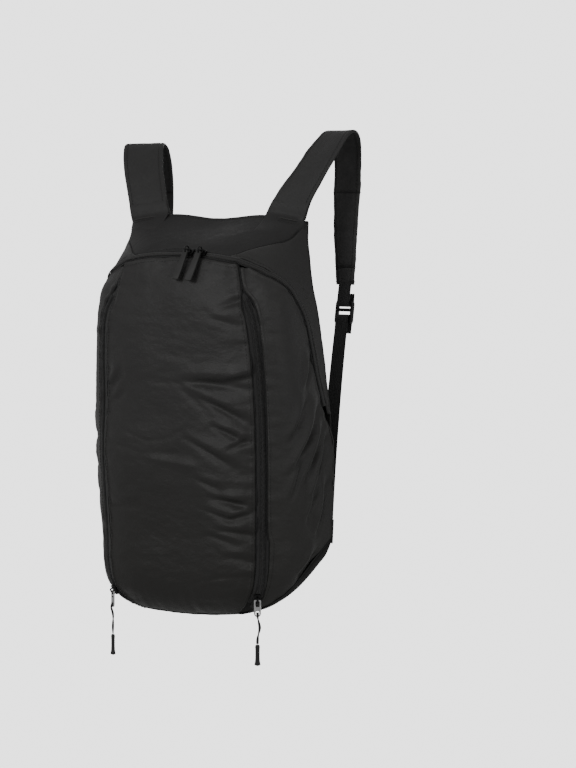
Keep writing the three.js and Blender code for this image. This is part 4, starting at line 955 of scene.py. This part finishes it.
def make_yoke():
    panel = Panel.over(yoke_grid())
    soft_relief(panel, 71.0, 0.7)
    panel.height += 1.4 * pucker(panel.edges["bottom"], panel.base, 10.0, 20.0, 73.0, (2.4, 1, 1))
    panel.height += 0.7 * bump(panel.edges["bottom"], 3.4, 2.2) - 1.0 * bump(panel.edges["bottom"], 0.0, 0.9)
    stitch_line(panel, "bottom", 4.8)
    for name in ("left", "right", "top"):
        seam_groove(panel, name, 0.7)
    return panel


def make_back():
    panel = Panel.over(back_grid())
    soft_relief(panel, 81.0, 0.8)
    for name in ("left", "right", "bottom", "top"):
        seam_groove(panel, name)
        panel.height += 0.9 * pucker(panel.edges[name], panel.base, 10.0, 18.0, 83.0, (1.5, 1, 1.8))
    return panel


def make_base():
    points, normals = base_points()
    panel = Panel(points, normals)
    panel.height += 0.9 * noise_field(points, 60.0, seed=91.0) + 0.35 * noise_field(points, 16.0, seed=95.0)
    panel.height += 1.1 * pucker(panel.edges["top"], points, 9.0, 13.0, 97.0, (2.2, 1.2, 1))
    seam_groove(panel, "top")
    seam_groove(panel, "bottom")
    return panel


def settle(piece, body, *nodes):
    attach(piece, body)
    if nodes:
        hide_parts(*nodes)
    return piece


def area_of(panel):
    a = panel.points[1:, 1:] - panel.points[:-1, :-1]
    b = panel.points[1:, :-1] - panel.points[:-1, 1:]
    return float(np.linalg.norm(np.cross(a, b), axis=2).sum() / 2 / 1e6)


def dress(panel, name, node, material):
    piece = settle(sheet_piece(name, panel, material), "bag", node)
    row_lengths = np.linalg.norm(np.diff(panel.points, axis=1), axis=2).sum(axis=1)
    column_lengths = np.linalg.norm(np.diff(panel.points, axis=0), axis=2).sum(axis=0)
    area = area_of(panel)
    return piece


front_centre = make_front_centre()
side_panels = {"right": make_front_side(101.0)}
left_front = make_front_side(131.0)
side_panels["left"] = left_front.mirror()
gussets = {"right": make_gusset(151.0), "left": make_gusset(171.0).mirror()}
yoke = make_yoke()
back = make_back()
base = make_base()

dress(front_centre, "front_centre_cloth", "front_centre_panel", CLOTH)
dress(yoke, "yoke_cloth", "yoke_panel", SHADED_YOKE_CLOTH)
dress(back, "back_cloth", "back_panel", BACK_CLOTH)
dress(base, "base_cloth", "base_panel", SHADED_BASE_CLOTH)
for side in SIDES:
    dress(side_panels[side], f"front_side_cloth_{side}", f"front_side_panel_{side}", SIDE_CLOTH)
    dress(gussets[side], f"gusset_cloth_{side}", f"side_gusset_{side}", SIDE_CLOTH)


# Seams and zips: profiles carried along a line of frames
def seam_frames(curve, shares):
    places = curve(shares)
    points, outs = form(places), normal_at(places)
    along = unit(np.gradient(points, axis=0))
    across = unit(np.cross(along, outs))
    return points, along, across, outs


def swept(frames, profile):
    """One closed skin from profile points (across, out) in mm; the profile may differ per frame."""
    points, along, across, outs = frames
    profile = np.broadcast_to(profile, (len(points),) + np.shape(profile)[-2:])
    if np.sum(np.cross(across, along) * outs) < 0:
        profile = profile[:, ::-1]
    ring = points[:, None] + across[:, None] * profile[..., :1] + outs[:, None] * profile[..., 1:]
    sides = profile.shape[1]
    faces = [tuple(face) for face in grid_faces(len(points), sides, closed=True)]
    last = (len(points) - 1) * sides
    faces.append(tuple(range(sides))[::-1])
    faces.append(tuple(range(last, last + sides)))
    around = np.concatenate([[0], np.cumsum(np.linalg.norm(np.diff(profile[0], axis=0), axis=1))])
    uvs = np.stack([np.tile(around, len(points)), np.repeat(running(points), sides)], axis=-1)
    return ring.reshape(-1, 3), faces, uvs / 1000


def piece_from(name, parts, material, body="bag", nodes=()):
    verts, faces, uvs = gather(parts)
    piece = mesh_from(name, place(verts), faces, uvs)
    piece.data.materials.append(material)
    settle(piece, body, *nodes)
    return piece


def tooth(side, low):
    """One turn of a zip's coil from a side to just past the middle, in (across, along, out) mm."""
    middle = side * np.array([[2.45, 0, 0.1], [2.5, 0, 0.75], [1.9, 0, 1.35], [0.6, 0, 1.5], [-0.55, 0, 1.2]])
    middle[:, 2] = np.abs(middle[:, 2]) + low
    return tube_arrays(middle, [0.3, 0.36, 0.36, 0.36, 0.42], 6, normals=np.array([0.0, 1.0, 0.0]))


def coil_parts(frames, low, pitch=1.36):
    points, along, across, outs = frames
    lengths = running(points)
    at = np.arange(0.7, lengths[-1] - 0.7, pitch / 2)
    read = [np.stack([np.interp(at, lengths, field[:, n]) for n in range(3)], axis=-1)
            for field in (points, along, across, outs)]
    parts = []
    for i in range(len(at)):
        verts, faces, uvs = tooth(1 if i % 2 else -1, low)
        p, a, c, o = (field[i] for field in read)
        parts.append((p + verts[:, :1] * c + verts[:, 1:2] * a + verts[:, 2:] * o, faces, uvs))
    return parts


def whole_arch(share):
    share = np.atleast_1d(share)
    low = mirrored(arch)(np.clip(share * 2, 0, 1))
    high = arch(np.clip(2 - share * 2, 0, 1))
    return np.where((share < 0.5)[:, None], low, high)


def upright_seam(side):
    def read(share):
        heights = FRONT_ZIP_BOTTOM + (FRONT_ZIP_TOP - 4 - FRONT_ZIP_BOTTOM) * np.atleast_1d(share)
        return np.array([[SIGN[side], level_of(1, height / BAG_HEIGHT)] for height in heights])
    return read


def add_arch_zip():
    """A zip worn inside out: its smooth tape faces out, domed over the hidden coil and met in the middle."""
    shares = np.linspace(ARCH_START / 2, 1 - ARCH_START / 2, 420)
    frames = seam_frames(whole_arch, shares)
    low = -MAIN_TAPE_DEPTH + COIL_GAP
    top = [(-2.5, low), (-2.45, low + 0.6), (-1.9, low + 1.15), (-1.0, low + 1.4), (-0.45, low + 1.35),
           (-0.12, low + 0.95), (0.12, low + 0.95), (0.45, low + 1.35), (1.0, low + 1.4), (1.9, low + 1.15),
           (2.45, low + 0.6), (2.5, low)]
    piece_from("main_zip_closed", [swept(frames, np.array(top))], TAPE, nodes=["main_zip_coil"])


def add_upright_zip(side):
    frames = seam_frames(upright_seam(side), np.linspace(0, 0.975, 240))
    parts = coil_parts(frames, -FRONT_TAPE_DEPTH + COIL_GAP)
    piece_from(f"front_zip_teeth_{side}", parts, COIL, nodes=[f"front_zip_coil_{side}"])


def add_zip_foot(side):
    """The cloth that closes each upright zip below its slider, down to the base seam."""
    def read(share):
        heights = 3.0 + (FRONT_ZIP_BOTTOM - 1.0) * np.atleast_1d(share)
        return np.array([[SIGN[side], level_of(1, height / BAG_HEIGHT)] for height in heights])
    profile = np.array([(-7.6, -1.6), (-7.6, -0.9), (7.6, -0.9), (7.6, -1.6)])
    frames = seam_frames(read, np.linspace(0, 1, 12))
    # The zip feet use the base's near-black cloth, painted shade low on the bag.
    piece_from(f"front_zip_foot_{side}", [swept(frames, profile)], SHADED_BASE_CLOTH)


def beside(panel, name, inward, lift=0.1):
    """A line inside a panel's edge, and its normals."""
    normals = panel.normals
    pick = {
        "left": normals[:, inward], "right": normals[:, normals.shape[1] - 1 - inward],
        "bottom": normals[inward], "top": normals[len(normals) - 1 - inward],
    }[name]
    return panel.edge(name, lift, inward), pick


def cut_line(line, keep):
    points, normals = line
    return points[keep], normals[keep]


def piping(name, lines, radius, material=None, sink=0.0, flat=1.0):
    parts = [tube_arrays(points - normals * sink, radius, 8, flat, normals) for points, normals in lines]
    return piece_from(name, parts, material or PIPING_AND_SEAM_SHADOW)


def stitches(name, lines, length=2.5, spacing=3.5):
    verts, faces = dashes([(points, normals) for points, normals in lines], length, spacing)
    piece = mesh_from(name, place(verts), faces)
    piece.data.materials.append(THREAD)
    return settle(piece, "bag")


def above_zip_start(line):
    start = float(height_of(arch(ARCH_START))[0])
    return cut_line(line, line[0][:, 2] > start - 4)


def add_seams():
    near = {"right": "left", "left": "right"}
    far = {"right": "right", "left": "left"}
    lips = [beside(front_centre, name, 0, 0.35) for name in ("left", "right")]
    lips += [beside(side_panels[side], near[side], 0, 0.35) for side in SIDES]
    piping("upright_zip_piping", lips, 0.85)
    arches = [beside(front_centre, "top", 0, 0.2), beside(yoke, "bottom", 0, 0.2)]
    arches += [beside(gussets[side], near[side], 0, 0.2) for side in SIDES]
    arches += [above_zip_start(beside(side_panels[side], far[side], 0, 0.2)) for side in SIDES]
    piping("arch_zip_piping", arches, 0.6)
    piping("yoke_seams", [beside(yoke, name, 0, 0.1) for name in ("left", "right")], 0.7)
    piping("top_seam", [beside(back, "top", 0, 0.2), beside(yoke, "top", 0, 0.1)], 1.0, CLOTH)
    piping("base_seam", [beside(base, "top", 0, 0.2)], 1.0)
    piping("back_seam", [beside(base, "bottom", 0, 0.2)], 0.9)
    piping("gusset_seams", [beside(gussets[side], far[side], 0, 0.1) for side in SIDES], 0.9, SIDE_CLOTH)
    low_sides = [cut_line(line, line[0][:, 2] < 232) for line in
                 (beside(side_panels[side], far[side], 0, 0.1) for side in SIDES)]
    piping("side_seams", low_sides, 0.8, SIDE_CLOTH)
    sewn = [beside(front_centre, name, 3, 0.15) for name in ("left", "right")]
    sewn += [beside(side_panels[side], near[side], 3, 0.15) for side in SIDES]
    sewn += [beside(front_centre, "top", 3, 0.12), beside(yoke, "bottom", 2, 0.12)]
    sewn += [beside(gussets[side], near[side], 3, 0.12) for side in SIDES]
    stitches("zip_stitches", sewn)
    stitches("yoke_stitches", [beside(yoke, "top", 2, 0.12), beside(yoke, "left", 2, 0.12),
                               beside(yoke, "right", 2, 0.12)])


# Shoulder straps: fine ribbons through the part's own rows
STRAP = table(
    ["out", "behind", "rise", "wide", "turn", "lean"],
    [
        [0.636, -0.03, 0.0, 1.05, 2, 8], [0.67, 0.0, 0.12, 1.01, 3, 7], [0.71, 0.075, 0.27, 0.99, 5, 5],
        [0.803, 0.28, 0.58, 0.98, 10, 3], [0.873, 0.48, 0.83, 0.97, 14, 1], [0.919, 0.68, 0.98, 0.95, 16, 0],
        [0.93, 0.86, 0.93, 0.93, 16, 0], [0.923, 0.97, 0.72, 0.9, 16, 0], [0.915, 1.0, 0.47, 0.88, 16, 0],
        [0.908, 1.0, 0.2, 0.86, 16, 0], [0.901, 0.985, -0.13, 0.8, 16, 0], [0.901, 0.98, -0.4, 0.72, 16, 0],
        [0.901, 0.98, -0.66, 0.64, 16, 0], [0.901, 0.98, -0.84, 0.57, 16, 0],
    ],
)
STRAP_SEAMS = [473.0, 389.0]
STRAP_END = np.array([STRAP["out"][-1] * BAG_HALF_WIDTH, STRAP["behind"][-1] * STRAP_SETBACK,
                      BAG_HEIGHT + STRAP["rise"][-1] * STRAP_RISE["right"]])


def ribbon_direction(turn, lean):
    around, down = np.radians(turn), np.radians(lean)
    return np.stack([np.cos(around) * np.cos(down), -np.sin(around) * np.cos(down), -np.sin(down)], axis=-1)


def strap_frames(side, per_row=14, stop=None):
    """The strap's middle line and frames, with its half width; the left one is mirrored later."""
    rise = np.where(STRAP["rise"] > 0, STRAP_RISE[side], STRAP_RISE["right"])
    rows = {"x": STRAP["out"] * BAG_HALF_WIDTH, "y": STRAP["behind"] * STRAP_SETBACK,
            "z": BAG_HEIGHT + STRAP["rise"] * rise, "half": STRAP["wide"] * STRAP_WIDTH / 2,
            "turn": STRAP["turn"], "lean": STRAP["lean"]}
    rows["z"][0] = BAG_HEIGHT - top_dip(rows["x"][0]) + SEAM_GAP + STRAP_THICKNESS / 3
    keys = np.arange(len(rows["x"]), dtype=float)
    at = np.linspace(0, stop or keys[-1], int((stop or keys[-1]) * per_row) + 1)
    read = {name: cubic_through(keys, values, at) for name, values in rows.items()}
    points = np.stack([read["x"], read["y"], read["z"]], axis=-1)
    along = unit(np.gradient(points, axis=0))
    across = ribbon_direction(read["turn"], read["lean"])
    outs = unit(np.cross(along, across))
    return (points, along, across, outs), read["half"]


def strap_profile(frames, half, seed):
    """Two layers of cloth over a thin pad, with a bound edge, seams across and a little waviness."""
    points, _, across, _ = frames
    u = np.linspace(-1, 1, 37)
    thick = STRAP_THICKNESS / 2 * np.sqrt(np.clip(1 - np.abs(u) ** 10, 0, 1))
    edge = (1 - np.abs(u)) * half[:, None]
    relief = 0.3 * bump(edge, 2.2, 2.0) - 0.55 * bump(edge, 5.0, 0.9)
    spots = points[:, None] + across[:, None] * (u * half[:, None])[..., None]
    wave = 1.0 * noise_field(spots, 38.0, (1, 1, 1.4), seed)
    wave = wave + 0.4 * noise_field(spots, 12.0, (1, 1, 1.8), seed + 3)
    swell = 0.5 * noise_field(spots, 24.0, (1, 1, 1.6), seed + 9)
    lengths = running(points)
    grooves = np.zeros(len(points))
    for height in STRAP_SEAMS:
        i = back_row(points, height)
        grooves += 2.0 * bump(lengths, lengths[i], 1.2)
        near_seam = np.exp(-np.abs(lengths - lengths[i]) / 9.0)[:, None]
        wave += near_seam * 0.7 * noise_field(spots, 7.0, seed=seed + 13)
    pad = thick[None] * (1 - grooves[:, None] / STRAP_THICKNESS)
    body = np.clip(pad + (relief + swell) * (thick[None] > 0.2), 0.15, 3.0)
    ends = 1 - 0.5 * np.exp(-(lengths[-1] - lengths) / 1.5)
    body = body * ends[:, None]
    body[:, 0] = body[:, -1] = 0.15
    x = u[None] * half[:, None]
    top = np.stack([x, body + wave], axis=-1)
    low = np.stack([x, wave - body], axis=-1)[:, ::-1]
    return np.concatenate([top, low], axis=1)


def flipped(part, side):
    if side == "right":
        return part
    verts, faces, uvs = part
    return verts * np.array([-1.0, 1.0, 1.0]), [tuple(face)[::-1] for face in faces], uvs


def strap_lines(frames, half, side):
    """Stitching along both edges, on both faces, and across at the seams."""
    points, along, across, outs = frames
    lines = []
    for face in (1, -1):
        for edge in (1, -1):
            line = points + across * (edge * (half - 5.0))[:, None]
            line = line + outs * face * (STRAP_THICKNESS / 2 - 0.1)
            lines.append((line, outs * face))
        for height in STRAP_SEAMS:
            i = back_row(points, height)
            u = np.linspace(-0.8, 0.8, 24)[:, None]
            line = points[i] + across[i] * half[i] * u + outs[i] * face * (STRAP_THICKNESS / 2 - 0.2)
            lines.append((line - along[i] * 2.5, np.broadcast_to(outs[i] * face, line.shape)))
    flip = np.array([SIGN[side], 1.0, 1.0])
    return [(line * flip, normals * flip) for line, normals in lines]


def back_row(points, height):
    crest = int(np.argmax(points[:, 2]))
    return crest + int(np.argmin(np.abs(points[crest:, 2] - height)))


def seam_shadow_lines(frames, half, side):
    """Painted shadow at the joins across a strap's back part: dark lines on both faces."""
    points, _, across, outs = frames
    flip = np.array([SIGN[side], 1.0, 1.0])
    lines = []
    for height in STRAP_SEAMS + [STRAP_END[2] + 4.0]:
        i = back_row(points, height)
        u = np.linspace(-0.97, 0.97, 24)[:, None]
        for face in (1, -1):
            line = points[i] + across[i] * half[i] * u + outs[i] * face * (STRAP_THICKNESS / 2 - 0.25)
            lines.append((line * flip, np.broadcast_to(outs[i] * face, line.shape) * flip))
    return lines


def add_strap(side):
    frames, half = strap_frames(side)
    skin = flipped(swept(frames, strap_profile(frames, half, 201.0 if side == "left" else 233.0)), side)
    piece = piece_from(f"strap_cloth_{side}", [skin], STRAP_CLOTH, nodes=[f"strap_{side}"])
    stitches(f"strap_stitches_{side}", strap_lines(frames, half, side))
    # Dark lines across the strap's seams, as painted shadow.
    piping(f"strap_seam_shadow_{side}", seam_shadow_lines(frames, half, side), 0.5)


def yoke_top_place(x, level):
    rounds = np.linspace(1.0, 3.0, 200)
    reach = form(np.stack([rounds, np.full(200, 1.0)], axis=-1))[:, 0]
    return np.array([[np.interp(x, reach, rounds), level]])


def add_strap_root(side):
    """The yoke's cloth runs on up the strap's front without a seam, so one sheet covers the join."""
    frames, half = strap_frames(side, 20, 1.6)
    points, along, across, outs = frames
    rows = []
    for u in np.linspace(-0.97, 0.97, 40):
        x = points[0, 0] + across[0, 0] * u * half[0]
        low = [form(yoke_top_place(x, level))[0] + normal_at(yoke_top_place(x, level))[0] * lift
               for level, lift in ((0.94, -1.2), (0.958, -0.4), (0.98, 0.2))]
        high = [points[i] + across[i] * u * half[i] - outs[i] * (STRAP_THICKNESS / 2 + lift)
                for i, lift in ((5, 0.7), (12, 0.6), (20, 0.3), (28, -0.5))]
        keys = np.array(low + high)
        lengths = running(keys)
        at = np.linspace(0, lengths[-1], 34)
        rows.append(np.stack([cubic_through(lengths, keys[:, n], at) for n in range(3)], axis=-1))
    grid = np.stack(rows, axis=1)
    grid = grid * np.array([SIGN[side], 1.0, 1.0])
    faces = grid_faces(*grid.shape[:2])
    if side == "left":
        faces = faces[:, ::-1]
    piece = mesh_from(f"strap_root_{side}", place(grid).reshape(-1, 3), faces,
                      grid[..., [0, 2]].reshape(-1, 2) / 1000)
    solid = piece.modifiers.new("thickness", "SOLIDIFY")
    solid.thickness = 0.0004
    solid.offset = -1
    piece.data.materials.append(ROOT_CLOTH)
    settle(piece, "bag")


# Webbing and ladder locks
WEBBING_WIDTH = 20.0
WEBBING_THICK = 1.2
LOCK_HEIGHT = 25.0
LOCK_BAR = 4.0
LOCK_THICKNESS = 4.0
LOCK_DROP = 31.0
UPPER_SLOT = 4.0
LOWER_SLOT = 5.5
MIDDLE_BAR = 3.5
LOOP_RADIUS = math.hypot(LOCK_BAR, LOCK_THICKNESS) / 2 + SEAM_GAP + WEBBING_THICK / 2
ANCHOR_LENGTH = 26.0
ANCHOR_UP = 0.214
LOCK_ACROSS = ribbon_direction(16.0, 0.0)
LOCK_UP = np.array([0.0, 0.13, 1.0])
LOCK_UP = unit(LOCK_UP - LOCK_ACROSS * LOCK_UP.dot(LOCK_ACROSS))
LOCK_OUT = unit(np.cross(LOCK_ACROSS, LOCK_UP))
LOCK_PLACE = STRAP_END + np.array([0, -2.0, -LOCK_DROP])


def on_lock(out, up):
    return LOCK_PLACE + LOCK_OUT * out + LOCK_UP * up


def turn_round(bar_up, direction):
    angles = np.linspace(0, math.pi, 13)
    return [on_lock(LOOP_RADIUS * math.cos(angle), bar_up + direction * LOOP_RADIUS * math.sin(angle))
            for angle in angles]


def webbing_part(points, across, side):
    points = np.array(points)
    across = np.broadcast_to(across, points.shape)
    along = unit(np.gradient(points, axis=0))
    outs = unit(np.cross(along, across))
    u = np.linspace(-1, 1, 17)
    thick = WEBBING_THICK / 2 * (1 - 0.45 * np.abs(u) ** 8)
    x = u * WEBBING_WIDTH / 2
    top = np.stack([x, thick], axis=-1)
    low = np.stack([x, -thick], axis=-1)[::-1]
    return flipped(swept((points, along, across, outs), np.concatenate([top, low])), side)


def add_upper_webbing(side):
    start = STRAP_END + np.array([0, 0, 5.0])
    bar = (LOCK_HEIGHT - LOCK_BAR) / 2
    turn = turn_round(bar, -1)
    lead = [start + (turn[0] - start) * share for share in np.linspace(0, 0.94, 10)]
    tail = [on_lock(-LOOP_RADIUS * 0.95, bar + 5), on_lock(-LOOP_RADIUS * 0.9, bar + 11)]
    part = webbing_part(lead + turn + tail, LOCK_ACROSS, side)
    piece_from(f"webbing_upper_{side}", [part], WEBBING, nodes=[f"strap_webbing_upper_{side}"])


ANCHOR_ROUND = 4 - LOCK_PLACE[0] / (float(section("edgeX", 0)[0]) * BAG_HALF_WIDTH)


def anchor_frames(shares):
    heights = ANCHOR_UP * BAG_HEIGHT + ANCHOR_LENGTH * (np.asarray(shares) - 0.5)
    places = np.array([[ANCHOR_ROUND, level_of(ANCHOR_ROUND, height / BAG_HEIGHT)] for height in heights])
    points, outs = form(places), normal_at(places)
    across = unit(np.cross(np.broadcast_to([0.0, 0.0, 1.0], outs.shape), outs))
    across = across * np.sign(across[:, :1])
    return points, across, outs


def add_lower_webbing(side):
    steps, slack = 40, 3.0
    lower_bar_top = LOCK_HEIGHT / 2 - LOCK_BAR - UPPER_SLOT - MIDDLE_BAR - LOWER_SLOT
    turn = turn_round(lower_bar_top - LOCK_BAR / 2, 1)[::-1]
    tail = [on_lock(-LOOP_RADIUS * 0.9, lower_bar_top - 19), on_lock(-LOOP_RADIUS * 0.95, lower_bar_top - 10)]
    leave = on_lock(LOOP_RADIUS * 0.9, -LOCK_HEIGHT / 2 - 6)
    flat_points, flat_across, flat_outs = anchor_frames([0.8, 0.15])
    flat_points = flat_points + flat_outs * (2 * SEAM_GAP + 1.4 + WEBBING_THICK / 2)
    points = tail + turn + [leave]
    across = [LOCK_ACROSS] * len(points)
    for i in range(1, steps):
        share = i / steps
        spot = leave + (flat_points[0] - leave) * share
        spot[1] -= 4 * slack * share * (1 - share)
        points.append(spot)
        across.append(unit(LOCK_ACROSS * (1 - share) + flat_across[0] * share))
    points += list(flat_points)
    across += [flat_across[0]] * 2
    part = webbing_part(points, np.array(across), side)
    piece_from(f"webbing_lower_{side}", [part], WEBBING, nodes=[f"strap_webbing_lower_{side}"])


# Hard pieces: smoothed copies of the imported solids
def polished(node, name, material, body, bevel, turn=32):
    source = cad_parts[node]
    mesh = source.data.copy()
    piece = bpy.data.objects.new(name, mesh)
    bpy.context.collection.objects.link(piece)
    piece.matrix_world = source.matrix_world.copy()
    work = bmesh.new()
    work.from_mesh(mesh)
    bmesh.ops.remove_doubles(work, verts=work.verts, dist=1e-6)
    bmesh.ops.dissolve_limit(work, angle_limit=math.radians(1.5), verts=work.verts, edges=work.edges)
    work.to_mesh(mesh)
    work.free()
    mesh.polygons.foreach_set("use_smooth", [True] * len(mesh.polygons))
    rounding = piece.modifiers.new("rounding", "BEVEL")
    rounding.width = bevel / 1000
    rounding.segments = 3
    rounding.limit_method = "ANGLE"
    rounding.angle_limit = math.radians(turn)
    rounding.harden_normals = True
    mesh.materials.clear()
    mesh.materials.append(material)
    settle(piece, body, node)
    return piece


def paint(node, material):
    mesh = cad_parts[node].data
    mesh.materials.clear()
    mesh.materials.append(material)


# Pulls on the upright zips: the puller's bar is the pivot, its cord hangs in a plane across the bag
CORD_ROUTE = table(
    ["down", "forward", "left", "right"],
    [
        [0, 0.5, 0, 0], [0.05, 0.95, 0, 0], [0.1, 1.28, 0, 0], [0.15, 1.28, 0.004, 0.004],
        [0.22, 0.95, 0.012, 0.02], [0.3, 0.45, 0.018, 0.045], [0.38, 0.12, 0.022, 0.066],
        [0.46, 0, 0.022, 0.08], [0.54, 0, 0.018, 0.076], [0.62, 0, 0.01, 0.058], [0.71, 0, 0, 0.03],
        [0.8, 0, -0.006, 0.01], [0.89, 0, -0.006, 0.002], [0.95, 0, -0.003, 0], [1, 0, 0, 0],
    ],
)
PULLER_THICKNESS = 1.6
CORD_DIAMETER = 1.6
CORD_DROP = 30.0
CORD_START = 13.05
CORD_STOP = 48.2
CORD_END_LENGTH = 24.0
CORD_END_WIDTH = 6.0
PIVOT = np.array([96.66, -115.798, -508.327])
PULL_ACROSS = np.array([0.8089, 0.588, 0.0])
PULL_FORWARD = np.array([0.588, -0.8089, 0.0])


def pull_points(side, local):
    """Points (across, down, forward) in mm on a hanging pull, in the frame's mm."""
    flip = np.array([SIGN[side], 1.0, 1.0])
    across = PULL_ACROSS * np.array([1.0, SIGN[side], 1.0])
    local = np.asarray(local, dtype=float)
    return (PIVOT * flip + local[:, :1] * across - local[:, 1:2] * np.array([0, 0, 1.0])
            + local[:, 2:] * PULL_FORWARD * flip)


def cord_route(side, count=90):
    at = np.linspace(0, 1, count)
    down = CORD_START + (CORD_STOP - CORD_START) * at
    bend = cubic_through(CORD_ROUTE["down"], CORD_ROUTE[side], at) * CORD_DROP
    forward = cubic_through(CORD_ROUTE["down"], CORD_ROUTE["forward"], at) * PULLER_THICKNESS
    return np.stack([bend, down, forward], axis=-1)


def add_pull_cord(side):
    route = cord_route(side)
    body = f"{side}_pull"
    parts = []
    for strand in (-1, 1):
        line = route.copy()
        twist = np.linspace(0, 1, len(route)) * 2.2 * math.pi * smooth_step(10, 16, route[:, 1])
        line[:, 0] += strand * 0.78 * np.cos(twist)
        line[:, 2] += strand * 0.5 * np.sin(twist)
        facing = PULL_FORWARD * [SIGN[side], 1, 1]
        parts.append(tube_arrays(pull_points(side, line), CORD_DIAMETER / 2, 10, normals=facing))
    verts, faces, uvs = gather(parts)
    piece = mesh_from(f"pull_cord_{side}", verts / 1000, faces, uvs)
    piece.data.materials.append(CORD)
    settle(piece, body, f"front_pull_cord_{side}")
    end = add_cord_end(side, body)
    path = pull_points(side, route) / 1000
    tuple(path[0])


def add_cord_end(side, body):
    """The moulded end: a flat grip with ribs and a rounded foot."""
    count, sides = 70, 28
    shares = np.linspace(0, 1, count)
    keys = [0, 0.05, 0.3, 0.6, 0.78, 0.88, 0.95, 1]
    widths = [0.62, 0.8, 0.84, 0.86, 0.92, 1.08, 1.14, 0.9]
    wide = cubic_through(np.array(keys), np.array(widths), shares) * CORD_END_WIDTH / 2
    wide = wide * np.sqrt(np.clip(np.minimum(shares / 0.03, (1 - shares) / 0.05), 0.04, 1))
    ribbed = smooth_step(0.1, 0.14, shares) * (1 - smooth_step(0.6, 0.64, shares))
    ribs = 0.16 * (np.sin(shares * 24 * math.pi) > 0.3) * ribbed
    angles = np.linspace(0, 2 * math.pi, sides, endpoint=False)
    rings = []
    for share, half, rib in zip(shares, wide, ribs):
        c, s = np.cos(angles), np.sin(angles)
        x = np.sign(c) * np.abs(c) ** 0.6 * (half - rib)
        z = np.sign(s) * np.abs(s) ** 0.6 * (half * 0.72 - rib)
        rings.append(np.stack([x, np.full(sides, CORD_STOP + 0.3 + share * CORD_END_LENGTH), z], axis=-1))
    verts = pull_points(side, np.concatenate(rings)) / 1000
    faces = [tuple(face) for face in grid_faces(count, sides, closed=True)]
    faces.append(tuple(range(sides))[::-1])
    faces.append(tuple(range((count - 1) * sides, count * sides)))
    piece = mesh_from(f"cord_end_{side}", verts, faces)
    piece.data.materials.append(RUBBER)
    settle(piece, body, f"front_cord_end_{side}")
    return piece


add_arch_zip()
add_seams()
for side in SIDES:
    add_upright_zip(side)
    add_zip_foot(side)
    add_strap(side)
    add_strap_root(side)
    add_upper_webbing(side)
    add_lower_webbing(side)
    polished(f"ladder_lock_{side}", f"ladder_lock_rounded_{side}", PLASTIC, "bag", 0.6)
    polished(f"front_slider_{side}", f"front_slider_rounded_{side}", SLIDER, "bag", 0.28)
    polished(f"main_slider_{side}", f"main_slider_rounded_{side}", SLIDER, "bag", 0.28)
    polished(f"main_pull_tab_{side}", f"main_pull_tab_rounded_{side}", TAB_RUBBER, "bag", 0.35)
    polished(f"front_puller_{side}", f"front_puller_rounded_{side}", METAL, f"{side}_pull", 0.3)
    add_pull_cord(side)
    paint(f"main_pull_ring_{side}", DARK_METAL)
    paint(f"front_zip_tape_{side}", SOLID_TAPE)
    paint(f"webbing_anchor_{side}", SOLID_TAPE)
paint("main_zip_tape", SOLID_TAPE)


# Camera and light
AIM = Vector((0.0659, -0.003, -0.2749))
DISTANCE = 4.5
AZIMUTH = math.radians(32)
ELEVATION = math.radians(3)


def point_at(thing, target):
    thing.rotation_euler = (target - thing.location).to_track_quat("-Z", "Y").to_euler()


camera_data = bpy.data.cameras.new("camera")
camera_data.lens = 187
camera_data.sensor_width = 36
camera = bpy.data.objects.new("camera", camera_data)
bpy.context.collection.objects.link(camera)
camera.location = AIM + DISTANCE * Vector((
    math.sin(AZIMUTH) * math.cos(ELEVATION), -math.cos(AZIMUTH) * math.cos(ELEVATION), math.sin(ELEVATION)))
point_at(camera, AIM)
bpy.context.scene.camera = camera


def area_light(name, location, size, power, tint=(1, 1, 1)):
    data = bpy.data.lights.new(name, "AREA")
    data.shape = "RECTANGLE"
    data.size, data.size_y = size
    data.energy = power
    data.color = tint
    light = bpy.data.objects.new(name, data)
    bpy.context.collection.objects.link(light)
    light.location = location
    point_at(light, Vector((0, -0.07, -0.3)))
    return light


area_light("key", (-0.5, -2.7, 0.9), (0.9, 0.9), 19)
area_light("fill", (2.8, -1.4, 0.5), (0.9, 1.6), 9)
area_light("top", (0.3, 0.2, 2.2), (1.4, 1.2), 2)
area_light("behind", (-0.8, 2.2, 0.6), (1.4, 1.0), 12)


def white_world():
    """A white ground to the camera, which lights the bag more softly than it shows."""
    world = bpy.data.worlds.new("studio")
    bpy.context.scene.world = world
    world.use_nodes = True
    tree = world.node_tree
    seen = tree.nodes["Background"]
    seen.inputs["Color"].default_value = (1, 1, 1, 1)
    seen.inputs["Strength"].default_value = 2.6
    lit = tree.nodes.new("ShaderNodeBackground")
    lit.inputs["Color"].default_value = (1, 1, 1, 1)
    lit.inputs["Strength"].default_value = 0.36
    path = tree.nodes.new("ShaderNodeLightPath")
    mix = tree.nodes.new("ShaderNodeMixShader")
    tree.links.new(path.outputs["Is Camera Ray"], mix.inputs["Fac"])
    tree.links.new(lit.outputs["Background"], mix.inputs[1])
    tree.links.new(seen.outputs["Background"], mix.inputs[2])
    tree.links.new(mix.outputs["Shader"], tree.nodes["World Output"].inputs["Surface"])


white_world()
